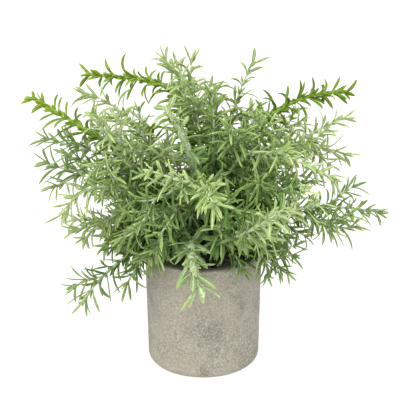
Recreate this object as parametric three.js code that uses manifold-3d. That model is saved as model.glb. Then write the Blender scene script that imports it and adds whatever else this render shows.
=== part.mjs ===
// A rosemary plant in a round stone-grey pot: the pot, the soil that fills it, and the leafy sprigs that
// stand in holes in the soil and arch out over the rim. Millimetres, +Z up, +X to the viewer's right and
// +Y away from the viewer. The origin is the middle of the pot's underside.
import * as THREE from "three";
import { mergeVertices } from "three/addons/utils/BufferGeometryUtils.js";
import Module from "manifold-3d";

// ---- The pot ----
const POT_HEIGHT = 90;
const POT_RIM_RADIUS = 45; // outside, at the rim
const POT_FOOT_RADIUS = 43.8; // outside, just above the rounded foot
const POT_WALL = 7;
const POT_FLOOR = 8;
const FOOT_ROUND = 5; // radius of the rounded edge under the pot
const FOOT_STEPS = 3; // flats round that edge
const RIM_ROUND = 1.2; // radius of the softened edges of the rim
const RIM_STEPS = 2;
const POT_SIDES = 34;

// ---- The soil ----
const SOIL_DROP = 7; // how far the soil lies below the rim, in the middle
const SOIL_CLEARANCE = 0.3; // between the soil and the pot's wall
const SOIL_MOUND = 1.5; // how much higher the soil is in the middle
const SOIL_CRUMB = 0.8; // height of its lumps
const SOIL_RINGS = 3;
const SOIL_SIDES = 16;
const SOIL_SEED = 7;

// ---- Stems ----
const FOOT_DEPTH = 20; // how deep a sprig stands in the soil
const FOOT_ABOVE = 4; // the foot's straight stretch above the soil
const HOLE_CLEARANCE = 0.35;
const MAIN_STEM = [1.7, 0.9]; // radius to a corner, at the soil and at the tip
const SIDE_STEM = [1.2, 0.8];
const STEM_SIDES = 4; // a rosemary stem is square
const STEM_STEP = 20; // length of one straight stretch of a stem
const BUD_LENGTH = 4; // the pointed end of a shoot

// ---- Needles ----
const PAIR_PITCH = 10.8; // needles stand in crossed pairs, this far apart
const BARE_MAIN = 14; // a main stem has no needles over this length above its foot
const BARE_SIDE = 9;
const NEEDLE_LENGTH = 17;
const NEEDLE_WIDTH = 3;
const NEEDLE_THICKNESS = 1.2;
const NEEDLE_SUNK = 0.7; // how far a needle's pointed root lies behind the middle of the stem
const NEEDLE_BELLY = 0.5; // the widest place, as a share of the length
const NEEDLE_SPREAD = 46; // degrees between the stem and the lower part of a needle
const NEEDLE_RECURVE = 24; // degrees by which the outer part bends further out
const TIP_SPREAD = 23; // degrees, at the tip of a shoot
const TIP_SHARE = 0.62; // the length of the needles at a shoot's tip, as a share of the others
const TIP_STARTS = 0.86; // the share of a shoot's length where its needles begin to close up
const LENGTH_JITTER = 0.13; // as a share
const TURN_JITTER = 16; // degrees
const CLEARANCE = 0.35; // kept between two sprigs
const NEEDLE_REACH = 1.3; // radius round a needle's middle line that it is taken to fill
const POT_MARGIN = 1; // kept between needles and the pot or the soil
const FIRST_SEED = 100; // each sprig draws its numbers from a stream of its own

// A needle that would touch something is turned round its stem, laid closer to it or made shorter, in
// this order, and is left out if none of these fits: [turn, spread] in degrees and a share of its length.
const WAYS = [
  [0, 0, 1], [24, 0, 1], [-24, 0, 1], [0, -16, 1], [44, -8, 1], [-44, -8, 1],
  [0, -24, 0.8], [30, -20, 0.7], [-30, -20, 0.7],
];

// Each sprig stands at root [x, y] in the soil. Its first shoot is the main stem; the others leave it at
// the share `from` of its length. A shoot runs from its root towards `shoulder` and ends at `tip`, both
// [right, back, up] from the pot's underside; `rise` is how far it first goes straight on.
const SPRIGS = [
  { name: "sprig_left_high", root: [-15, 7], colour: "fresh",
    shoots: [{ rise: 60, shoulder: [-85, 18, 176], tip: [-127, 25, 202] }] },
  { name: "sprig_left_top", root: [-7, 15], colour: "fresh",
    shoots: [{ rise: 136, shoulder: [-11, 38, 213], tip: [-87, 44, 217] }] },
  { name: "sprig_left_crown", root: [-13, -7], colour: "dusty",
    shoots: [
      { rise: 65, shoulder: [-56, -10, 212], tip: [-83, -12, 214] },
      { from: 0.46, rise: 20, shoulder: [-62, -44, 180], tip: [-73, -52, 208] },
    ] },
  { name: "sprig_left_middle", root: [-22, -1], colour: "dusty",
    shoots: [
      { rise: 64, shoulder: [-60, 6, 162], tip: [-116, 12, 174] },
      { from: 0.42, rise: 18, shoulder: [-78, -34, 155], tip: [-109, -42, 172] },
    ] },
  { name: "sprig_left_low", root: [-25, -10], colour: "dusty",
    shoots: [
      { rise: 42, shoulder: [-76, -50, 182], tip: [-96, -60, 142] },
      { from: 0.45, rise: 15, shoulder: [-52, -18, 122], tip: [-93, -22, 115] },
    ] },
  { name: "sprig_left_rim", root: [-28, -3], colour: "dusty",
    shoots: [
      { rise: 22, shoulder: [-73, -34, 93], tip: [-87, -40, 66] },
      { from: 0.3, rise: 12, shoulder: [-49, 22, 119], tip: [-77, 28, 84] },
    ] },
  { name: "sprig_top_left", root: [-4, 5], colour: "dusty",
    shoots: [
      { rise: 84, shoulder: [8, -4, 200], tip: [-26, -8, 238] },
      { from: 0.52, rise: 20, shoulder: [-13, 26, 206], tip: [-9, 32, 228] },
    ] },
  { name: "sprig_top_middle", root: [4, -4], colour: "dusty",
    shoots: [
      { rise: 60, shoulder: [11, -14, 190], tip: [6, -16, 213] },
      { from: 0.6, rise: 16, shoulder: [20, -30, 174], tip: [27, -40, 193] },
    ] },
  { name: "sprig_top_right", root: [10, 6], colour: "dusty",
    shoots: [
      { rise: 70, shoulder: [22, 16, 204], tip: [36, 20, 229] },
      { from: 0.5, rise: 18, shoulder: [38, -12, 173], tip: [47, -24, 194] },
    ] },
  { name: "sprig_front_upright", root: [-6, -14], colour: "frosted",
    shoots: [
      { rise: 60, shoulder: [2, -46, 166], tip: [-24, -52, 213] },
      { from: 0.5, rise: 14, shoulder: [-28, -60, 146], tip: [-44, -72, 155] },
    ] },
  { name: "sprig_front_left", root: [-12, -20], colour: "tipped",
    shoots: [
      { rise: 86, shoulder: [25, -66, 150], tip: [-34, -82, 179] },
      { from: 0.45, rise: 14, shoulder: [-29, -50, 136], tip: [-54, -64, 125] },
    ] },
  { name: "sprig_front_centre", root: [3, -18], colour: "tipped",
    shoots: [
      { rise: 48, shoulder: [-3, -80, 176], tip: [7, -106, 165] },
      { from: 0.5, rise: 12, shoulder: [13, -78, 146], tip: [18, -92, 163] },
    ] },
  { name: "sprig_front_rim", root: [-4, -28], colour: "frosted",
    shoots: [{ rise: 30, shoulder: [-15, -68, 126], tip: [-3, -76, 92] }] },
  { name: "sprig_front_right", root: [8, -25], colour: "tipped",
    shoots: [
      { rise: 40, shoulder: [3, -60, 101], tip: [53, -94, 156] },
      { from: 0.45, rise: 14, shoulder: [58, -60, 140], tip: [76, -72, 153] },
    ] },
  { name: "sprig_right_high", root: [15, 14], colour: "fresh",
    shoots: [{ rise: 60, shoulder: [37, 30, 208], tip: [108, 35, 205] }] },
  { name: "sprig_right_crown", root: [20, 4], colour: "dusty",
    shoots: [
      { rise: 55, shoulder: [73, 0, 183], tip: [102, -4, 194] },
      { from: 0.45, rise: 18, shoulder: [78, 38, 169], tip: [111, 42, 154] },
    ] },
  { name: "sprig_right_middle", root: [14, -9], colour: "tipped",
    shoots: [
      { rise: 80, shoulder: [18, -42, 201], tip: [90, -48, 164] },
      { from: 0.42, rise: 14, shoulder: [39, -56, 152], tip: [58, -70, 163] },
    ] },
  { name: "sprig_right_low", root: [24, -8], colour: "dusty",
    shoots: [
      { rise: 30, shoulder: [72, -14, 138], tip: [129, -16, 126] },
      { from: 0.42, rise: 14, shoulder: [90, -44, 121], tip: [105, -50, 127] },
    ] },
  { name: "sprig_right_rim", root: [27, -18], colour: "dusty",
    shoots: [
      { rise: 17, shoulder: [30, -30, 98], tip: [65, -36, 99] },
      { from: 0.3, rise: 8, shoulder: [47, -36, 104], tip: [47, -46, 89] },
    ] },
  { name: "sprig_right_back", root: [26, 12], colour: "dusty",
    shoots: [
      { rise: 32, shoulder: [65, 46, 126], tip: [86, 54, 127] },
      { from: 0.35, rise: 12, shoulder: [63, 16, 103], tip: [80, 20, 93] },
    ] },
  { name: "sprig_back_crown", root: [3, 19], colour: "dusty",
    shoots: [
      { rise: 66, shoulder: [4, 50, 174], tip: [10, 66, 198] },
      { from: 0.48, rise: 18, shoulder: [40, 60, 162], tip: [52, 74, 176] },
    ] },
  { name: "sprig_back_left", root: [-13, 22], colour: "dusty",
    shoots: [
      { rise: 44, shoulder: [-42, 76, 150], tip: [-58, 98, 152] },
      { from: 0.45, rise: 14, shoulder: [-72, 62, 126], tip: [-96, 72, 118] },
    ] },
  { name: "sprig_back_middle", root: [9, 27], colour: "dusty",
    shoots: [
      { rise: 40, shoulder: [10, 88, 148], tip: [6, 118, 142] },
      { from: 0.42, rise: 14, shoulder: [38, 84, 122], tip: [56, 100, 112] },
    ] },
  { name: "sprig_back_right", root: [19, 23], colour: "tipped",
    shoots: [
      { rise: 40, shoulder: [58, 76, 140], tip: [84, 96, 144] },
      { from: 0.45, rise: 14, shoulder: [62, 62, 160], tip: [74, 70, 182] },
    ] },
  { name: "sprig_back_rim", root: [-2, 30], colour: "dusty",
    shoots: [
      { rise: 20, shoulder: [-10, 68, 110], tip: [-14, 86, 72] },
      { from: 0.3, rise: 12, shoulder: [-32, 62, 106], tip: [-50, 76, 90] },
    ] },
  { name: "sprig_back_corner", root: [-23, 15], colour: "dusty",
    shoots: [
      { rise: 22, shoulder: [-58, 44, 112], tip: [-80, 56, 88] },
      { from: 0.4, rise: 12, shoulder: [-64, 40, 128], tip: [-92, 46, 138] },
    ] },
];

// The sprigs' colours, from new green growth to the greyish bloom of older leaves.
const NEEDLE_COLOURS = { fresh: 0x5f9a2c, dusty: 0x6f9460, tipped: 0x97b95c, frosted: 0x93ad86 };

const wasm = await Module();
wasm.setup();
const soilTop = POT_HEIGHT - SOIL_DROP;

// ---- Small tools ----

// A repeatable stream of numbers from 0 to 1, the linear congruential kind.
function randomStream(seed) {
  let state = seed >>> 0;
  return () => {
    state = (Math.imul(state, 1664525) + 1013904223) >>> 0;
    return state / 4294967296;
  };
}

const vector = ([x, y, z]) => new THREE.Vector3(x, y, z);

function geometryOf(points, faces) {
  const geometry = new THREE.BufferGeometry();
  geometry.setAttribute("position", new THREE.Float32BufferAttribute(points.flatMap((p) => p.toArray()), 3));
  geometry.setIndex(faces.flat());
  return geometry;
}

function solidOf(geometry) {
  const bare = geometry.clone();
  bare.deleteAttribute("normal");
  bare.deleteAttribute("uv");
  const merged = mergeVertices(bare, 1e-4);
  return new wasm.Manifold(new wasm.Mesh({
    numProp: 3,
    vertProperties: merged.attributes.position.array,
    triVerts: new Uint32Array(merged.index.array),
  }));
}

function geometryOfSolid(solid) {
  const mesh = solid.getMesh();
  const geometry = new THREE.BufferGeometry();
  geometry.setAttribute("position", new THREE.BufferAttribute(new Float32Array(mesh.vertProperties), 3));
  geometry.setIndex(new THREE.BufferAttribute(new Uint32Array(mesh.triVerts), 1));
  geometry.computeVertexNormals();
  return geometry;
}

// The largest of a solid's skins: a pocket sealed between crossing needles is filled, a scrap is dropped.
function outerSkin(solid) {
  return solid.decompose().reduce((best, part) => (part.volume() > best.volume() ? part : best));
}

// A closed skin over rings of equally many points, capped flat at the first and run to a point at the end.
function skin(rings, point) {
  const sides = rings[0].length;
  const points = [...rings.flat(), point];
  const faces = [];
  for (let k = 1; k + 1 < sides; k++) faces.push([0, k + 1, k]);
  rings.slice(1).forEach((_, i) => {
    for (let k = 0; k < sides; k++) {
      const a = i * sides + k;
      const b = i * sides + ((k + 1) % sides);
      faces.push([a, b, b + sides], [a, b + sides, a + sides]);
    }
  });
  const last = (rings.length - 1) * sides;
  for (let k = 0; k < sides; k++) faces.push([last + k, last + ((k + 1) % sides), points.length - 1]);
  return geometryOf(points, faces);
}

// ---- The pot and the soil ----

// A quarter of a circle round [x, z], from one angle to another in degrees.
function quarter(x, z, radius, from, to, steps) {
  return Array.from({ length: steps + 1 }, (_, i) => {
    const angle = THREE.MathUtils.degToRad(from + ((to - from) * i) / steps);
    return new THREE.Vector2(x + radius * Math.cos(angle), z + radius * Math.sin(angle));
  });
}

const innerRimRadius = POT_RIM_RADIUS - POT_WALL;
const innerFootRadius = POT_FOOT_RADIUS - POT_WALL;

// The radius of the pot's inside at a height.
function insideRadius(z) {
  return THREE.MathUtils.mapLinear(z, POT_FLOOR, POT_HEIGHT, innerFootRadius, innerRimRadius);
}

// LatheGeometry turns its profile round Y, so the pot is stood up on Z afterwards.
function potGeometry() {
  const rimHeight = POT_HEIGHT - RIM_ROUND;
  const profile = [
    new THREE.Vector2(0, 0),
    ...quarter(POT_FOOT_RADIUS - FOOT_ROUND, FOOT_ROUND, FOOT_ROUND, -90, 0, FOOT_STEPS),
    ...quarter(POT_RIM_RADIUS - RIM_ROUND, rimHeight, RIM_ROUND, 0, 90, RIM_STEPS),
    ...quarter(innerRimRadius + RIM_ROUND, rimHeight, RIM_ROUND, 90, 180, RIM_STEPS),
    new THREE.Vector2(innerFootRadius, POT_FLOOR),
    new THREE.Vector2(0, POT_FLOOR),
  ];
  return new THREE.LatheGeometry(profile, POT_SIDES).rotateX(Math.PI / 2);
}

// The soil fills the pot from its floor up to a low, crumbly mound.
function soilSolid() {
  const random = randomStream(SOIL_SEED);
  const circle = (radius, height) => Array.from({ length: SOIL_SIDES }, (_, k) => {
    const angle = (2 * Math.PI * k) / SOIL_SIDES;
    return new THREE.Vector3(radius * Math.cos(angle), radius * Math.sin(angle), height());
  });
  const topRadius = insideRadius(soilTop) - SOIL_CLEARANCE;
  const top = Array.from({ length: SOIL_RINGS }, (_, i) => {
    const share = 1 - i / SOIL_RINGS;
    return circle(topRadius * share, () => soilTop - SOIL_MOUND * share ** 2 + SOIL_CRUMB * (random() - 0.5));
  });
  const foot = circle(insideRadius(POT_FLOOR) - SOIL_CLEARANCE, () => POT_FLOOR);
  return solidOf(skin([foot, ...top], new THREE.Vector3(0, 0, soilTop)));
}

// The plain square hole that a sprig stands in.
function holeSolid([x, y]) {
  const depth = FOOT_DEPTH + HOLE_CLEARANCE + SOIL_CRUMB;
  const radius = MAIN_STEM[0] + HOLE_CLEARANCE * Math.SQRT2;
  const hole = new THREE.CylinderGeometry(radius, radius, depth, STEM_SIDES).rotateX(Math.PI / 2);
  return solidOf(hole.translate(x, y, soilTop - FOOT_DEPTH - HOLE_CLEARANCE + depth / 2));
}

// ---- Sprigs ----

// A shoot as a row of stations: each has its place, its heading, its distance from the first one, the
// stem's radius and a direction across the stem that is carried along without twisting. The curve leaves
// `start` along `heading`. The straight foot of a main stem goes below it.
function growShoot(start, heading, shoot, [thick, thin], footDepth) {
  const leaving = start.clone().addScaledVector(heading, shoot.rise);
  const curve = new THREE.CubicBezierCurve3(start, leaving, vector(shoot.shoulder), vector(shoot.tip));
  const steps = Math.round(curve.getLength() / STEM_STEP);
  const stations = Array.from({ length: steps + 1 }, (_, i) => ({
    at: curve.getPointAt(i / steps),
    heading: curve.getTangentAt(i / steps),
    radius: THREE.MathUtils.lerp(thick, thin, i / steps),
  }));
  let across = new THREE.Vector3(1, 0, 0);
  stations.forEach((station, i) => {
    across = across.clone().addScaledVector(station.heading, -across.dot(station.heading)).normalize();
    station.across = across;
    station.run = i ? stations[i - 1].run + station.at.distanceTo(stations[i - 1].at) : 0;
  });
  const foot = { ...stations[0], at: start.clone().addScaledVector(heading, -footDepth) };
  return { stations, foot: footDepth ? [foot] : [], length: stations.at(-1).run };
}

// The place on a shoot's straight stretches at a distance from its start.
function placeOn({ stations }, run) {
  const next = Math.max(1, stations.findIndex((station) => station.run >= run - 1e-9));
  const [a, b] = [stations[next - 1], stations[next]];
  const share = (run - a.run) / (b.run - a.run);
  const heading = a.heading.clone().lerp(b.heading, share).normalize();
  const across = a.across.clone().addScaledVector(heading, -a.across.dot(heading)).normalize();
  const side = new THREE.Vector3().crossVectors(heading, across);
  return { at: a.at.clone().lerp(b.at, share), heading, across, side };
}

function stemSolid({ foot, stations }) {
  const rings = [...foot, ...stations].map(({ at, heading, across, radius }) => {
    const side = new THREE.Vector3().crossVectors(heading, across);
    return Array.from({ length: STEM_SIDES }, (_, k) => {
      const angle = (2 * Math.PI * k) / STEM_SIDES;
      const spoke = across.clone().multiplyScalar(Math.cos(angle)).addScaledVector(side, Math.sin(angle));
      return at.clone().addScaledVector(spoke, radius);
    });
  });
  const last = stations.at(-1);
  return solidOf(skin(rings, last.at.clone().addScaledVector(last.heading, BUD_LENGTH)));
}

// The middle line of a needle: from the stem to its widest place, where it bends outwards, and to its tip.
function needleLine({ at, heading }, outward, length, spread) {
  const lean = (degrees) => {
    const angle = THREE.MathUtils.degToRad(degrees);
    return heading.clone().multiplyScalar(Math.cos(angle)).addScaledVector(outward, Math.sin(angle));
  };
  const belly = at.clone().addScaledVector(lean(spread), length * NEEDLE_BELLY);
  const tip = belly.clone().addScaledVector(lean(spread + NEEDLE_RECURVE), length * (1 - NEEDLE_BELLY));
  return [at, belly, tip];
}

// A needle is a three-sided spindle with a keel underneath, from a point sunk in the stem to its tip.
function needleSolid([root, belly, tip], heading) {
  const along = tip.clone().sub(root).normalize();
  const across = new THREE.Vector3().crossVectors(along, heading).normalize();
  const face = new THREE.Vector3().crossVectors(across, along);
  const sunk = root.clone().addScaledVector(belly.clone().sub(root).normalize(), -NEEDLE_SUNK);
  const corner = (out, rise) => belly.clone().addScaledVector(across, out).addScaledVector(face, rise);
  const points = [
    sunk,
    corner(NEEDLE_WIDTH / 2, NEEDLE_THICKNESS / 3),
    corner(0, (-2 * NEEDLE_THICKNESS) / 3),
    corner(-NEEDLE_WIDTH / 2, NEEDLE_THICKNESS / 3),
    tip,
  ];
  const faces = [[0, 2, 1], [0, 3, 2], [0, 1, 3], [4, 1, 2], [4, 2, 3], [4, 3, 1]];
  return solidOf(geometryOf(points, faces));
}

// ---- Keeping things clear of each other ----

// The shortest distance between the straight stretches a-b and c-d.
function gapBetween(a, b, c, d) {
  const [u, v, w] = [b.clone().sub(a), d.clone().sub(c), a.clone().sub(c)];
  const [uu, uv, vv, uw, vw] = [u.dot(u), u.dot(v), v.dot(v), u.dot(w), v.dot(w)];
  const skew = uu * vv - uv * uv;
  const guess = skew > 1e-9 ? THREE.MathUtils.clamp((uv * vw - vv * uw) / skew, 0, 1) : 0;
  const t = THREE.MathUtils.clamp((uv * guess + vw) / vv, 0, 1);
  const s = THREE.MathUtils.clamp((uv * t - uw) / uu, 0, 1);
  return w.addScaledVector(u, s).addScaledVector(v, -t).length();
}

// What stems and needles already fill: straight stretches a-b with a radius, their sprig and their shoot.
const filled = [];

function fill(a, b, radius, sprigName, shoot, isStem) {
  filled.push({ a, b, radius, sprigName, shoot, isStem, length: a.distanceTo(b) });
}

function clearOfPot(point, radius) {
  const margin = radius + POT_MARGIN;
  const across = Math.hypot(point.x, point.y);
  const inside = across < innerRimRadius - margin && point.z > soilTop + margin;
  return inside || across > POT_RIM_RADIUS + margin || point.z > POT_HEIGHT + margin;
}

// Whether a needle's stretch a-b is clear of all but its own stem and the lower parts beside it.
function isFree(a, b, sprigName, shoot) {
  const length = a.distanceTo(b);
  const blocks = (other) => {
    if (other.shoot === shoot && other.isStem) return false;
    const kept = NEEDLE_REACH + other.radius + (other.sprigName === sprigName ? 0 : CLEARANCE);
    if (other.a.distanceTo(a) > length + other.length + kept) return false;
    return gapBetween(a, b, other.a, other.b) < kept;
  };
  const middle = a.clone().lerp(b, 0.5);
  return clearOfPot(middle, NEEDLE_REACH) && clearOfPot(b, NEEDLE_REACH) && !filled.some(blocks);
}

// ---- Growing the sprigs: first every stem, then the needles, which give way to what is there ----

const up = new THREE.Vector3(0, 0, 1);
const sprigs = SPRIGS.map((sprig) => {
  const start = new THREE.Vector3(...sprig.root, soilTop + FOOT_ABOVE);
  const main = growShoot(start, up, sprig.shoots[0], MAIN_STEM, FOOT_DEPTH + FOOT_ABOVE);
  const others = sprig.shoots.slice(1).map((shoot) => {
    const fork = placeOn(main, shoot.from * main.length);
    return growShoot(fork.at, fork.heading, shoot, SIDE_STEM, 0);
  });
  for (const shoot of [main, ...others]) {
    const path = [...shoot.foot, ...shoot.stations];
    path.slice(1).forEach(({ at }, i) => fill(path[i].at, at, path[i].radius, sprig.name, shoot, true));
  }
  return { ...sprig, main, others };
});

// The first way in which a needle fits, or nothing. `turn` and `spread` are in degrees.
function fittingNeedle(place, turn, spread, length, sprigName, shoot) {
  for (const [turnBy, spreadBy, share] of WAYS) {
    const angle = THREE.MathUtils.degToRad(turn + turnBy);
    const { across, side } = place;
    const outward = across.clone().multiplyScalar(Math.cos(angle)).addScaledVector(side, Math.sin(angle));
    const line = needleLine(place, outward, length * share, Math.max(spread + spreadBy, TIP_SPREAD));
    const [root, belly, tip] = line;
    const middle = root.clone().lerp(belly, 0.5);
    if (isFree(middle, belly, sprigName, shoot) && isFree(belly, tip, sprigName, shoot)) {
      fill(middle, belly, NEEDLE_REACH, sprigName, shoot, false);
      fill(belly, tip, NEEDLE_REACH, sprigName, shoot, false);
      return [needleSolid(line, place.heading)];
    }
  }
  return [];
}

// The needles of one shoot, in pairs that cross the pair below. Towards the shoot's tip they are shorter
// and stand closer to the stem.
function needlesOn(shoot, bare, sprigName, random) {
  const pairs = Math.round((shoot.length - bare) / PAIR_PITCH);
  const about = (amount) => (random() - 0.5) * 2 * amount;
  const pairAt = (pair) => {
    const run = bare + ((shoot.length - bare) * pair) / pairs;
    const place = placeOn(shoot, run);
    const closing = THREE.MathUtils.smoothstep(run / shoot.length, TIP_STARTS, 1);
    const spread = THREE.MathUtils.lerp(NEEDLE_SPREAD, TIP_SPREAD, closing);
    const full = NEEDLE_LENGTH * THREE.MathUtils.lerp(1, TIP_SHARE, closing);
    return [45, 225].flatMap((half) => {
      const turn = half + 90 * (pair % 2) + about(TURN_JITTER);
      return fittingNeedle(place, turn, spread, full * (1 + about(LENGTH_JITTER)), sprigName, shoot);
    });
  };
  return Array.from({ length: pairs + 1 }, (_, pair) => pairAt(pair)).flat();
}

// ---- The whole plant ----

const plant = new THREE.Group();
plant.name = "potted_rosemary";

function addPiece(name, geometry, color, roughness, [x, y, z] = [0, 0, 0]) {
  const piece = new THREE.Mesh(geometry, new THREE.MeshStandardMaterial({ color, roughness, metalness: 0 }));
  piece.name = name;
  piece.position.set(x, y, z);
  plant.add(piece);
}

addPiece("pot", potGeometry(), 0xb9b09f, 0.9);

const soil = SPRIGS.reduce((ground, sprig) => ground.subtract(holeSolid(sprig.root)), soilSolid());
addPiece("soil", geometryOfSolid(soil), 0x25201b, 1);

sprigs.forEach(({ name, root: [x, y], colour, main, others }, index) => {
  const random = randomStream(FIRST_SEED + index);
  const needles = [
    ...needlesOn(main, BARE_MAIN, name, random),
    ...others.flatMap((shoot) => needlesOn(shoot, BARE_SIDE, name, random)),
  ];
  const stems = [main, ...others].map(stemSolid);
  const whole = [...stems, ...needles].reduce((joined, next) => joined.add(next));
  const geometry = geometryOfSolid(outerSkin(whole)).translate(-x, -y, -soilTop);
  addPiece(name, geometry, NEEDLE_COLOURS[colour], 0.7, [x, y, soilTop]);
});

export default plant;
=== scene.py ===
"""A rosemary plant in a round, stone-grey pot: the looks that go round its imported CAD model.

Metres, +Z up, +X to the viewer's right and +Y away from the viewer, with the origin in the middle of the
pot's underside. The pot, the soil and every sprig replace the CAD nodes that they are named after.
"""

import bpy
import numpy as np
from bpy.props import FloatProperty, FloatVectorProperty, IntProperty, PointerProperty
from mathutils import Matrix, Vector


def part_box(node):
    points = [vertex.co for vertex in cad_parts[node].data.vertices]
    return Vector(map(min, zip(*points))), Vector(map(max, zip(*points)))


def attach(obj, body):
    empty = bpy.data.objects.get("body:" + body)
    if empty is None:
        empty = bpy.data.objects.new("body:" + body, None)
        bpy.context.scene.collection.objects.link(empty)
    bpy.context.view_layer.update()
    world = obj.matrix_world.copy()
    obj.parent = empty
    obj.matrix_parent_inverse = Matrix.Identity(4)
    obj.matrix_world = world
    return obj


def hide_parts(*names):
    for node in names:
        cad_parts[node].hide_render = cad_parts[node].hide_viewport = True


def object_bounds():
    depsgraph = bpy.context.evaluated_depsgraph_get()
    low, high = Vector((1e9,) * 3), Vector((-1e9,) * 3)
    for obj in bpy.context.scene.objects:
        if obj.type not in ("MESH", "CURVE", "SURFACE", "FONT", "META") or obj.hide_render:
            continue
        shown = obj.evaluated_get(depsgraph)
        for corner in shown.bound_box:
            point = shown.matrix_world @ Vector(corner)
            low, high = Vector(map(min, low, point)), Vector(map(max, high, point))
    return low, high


bl_info = {
    "name": "Potted rosemary",
    "version": (1, 0, 0),
    "blender": (4, 5, 0),
    "location": "3D View > Sidebar > Rosemary",
    "description": "Builds a leafy rosemary plant in a stone-grey pot",
    "category": "Add Mesh",
}

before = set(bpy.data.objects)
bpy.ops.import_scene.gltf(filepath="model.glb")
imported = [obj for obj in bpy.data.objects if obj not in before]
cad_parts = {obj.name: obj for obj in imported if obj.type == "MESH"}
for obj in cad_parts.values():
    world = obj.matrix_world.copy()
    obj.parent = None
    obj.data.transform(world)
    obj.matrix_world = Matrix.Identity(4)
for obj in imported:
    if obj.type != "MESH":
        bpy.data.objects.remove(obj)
CAD_BOX = [list(corner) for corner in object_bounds()]
POT_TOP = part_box("pot")[1].z

# ---- The sprigs: the routes of their stems, as in the CAD source, in metres ----
# A sprig stands at root (x, y). Its first shoot is the main stem, which starts upright; the others leave it
# at the share `leaves_at` of its length. A shoot's curve is drawn by two handles: one that lies straight
# ahead of its foot by `rise`, and `shoulder`. It ends at `tip`. The last two are (right, back, up).


def shoot(rise, shoulder, tip, leaves_at=0.0, kind=None, youth=1.0):
    """One shoot. A side shoot leaves the main one at a share of its length.

    Its leaves can be of another kind, and are as young as its `youth` says, as a share of the main shoot's.
    """
    return {
        "rise": rise, "shoulder": shoulder, "tip": tip, "leaves_at": leaves_at, "kind": kind, "youth": youth,
    }


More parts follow.
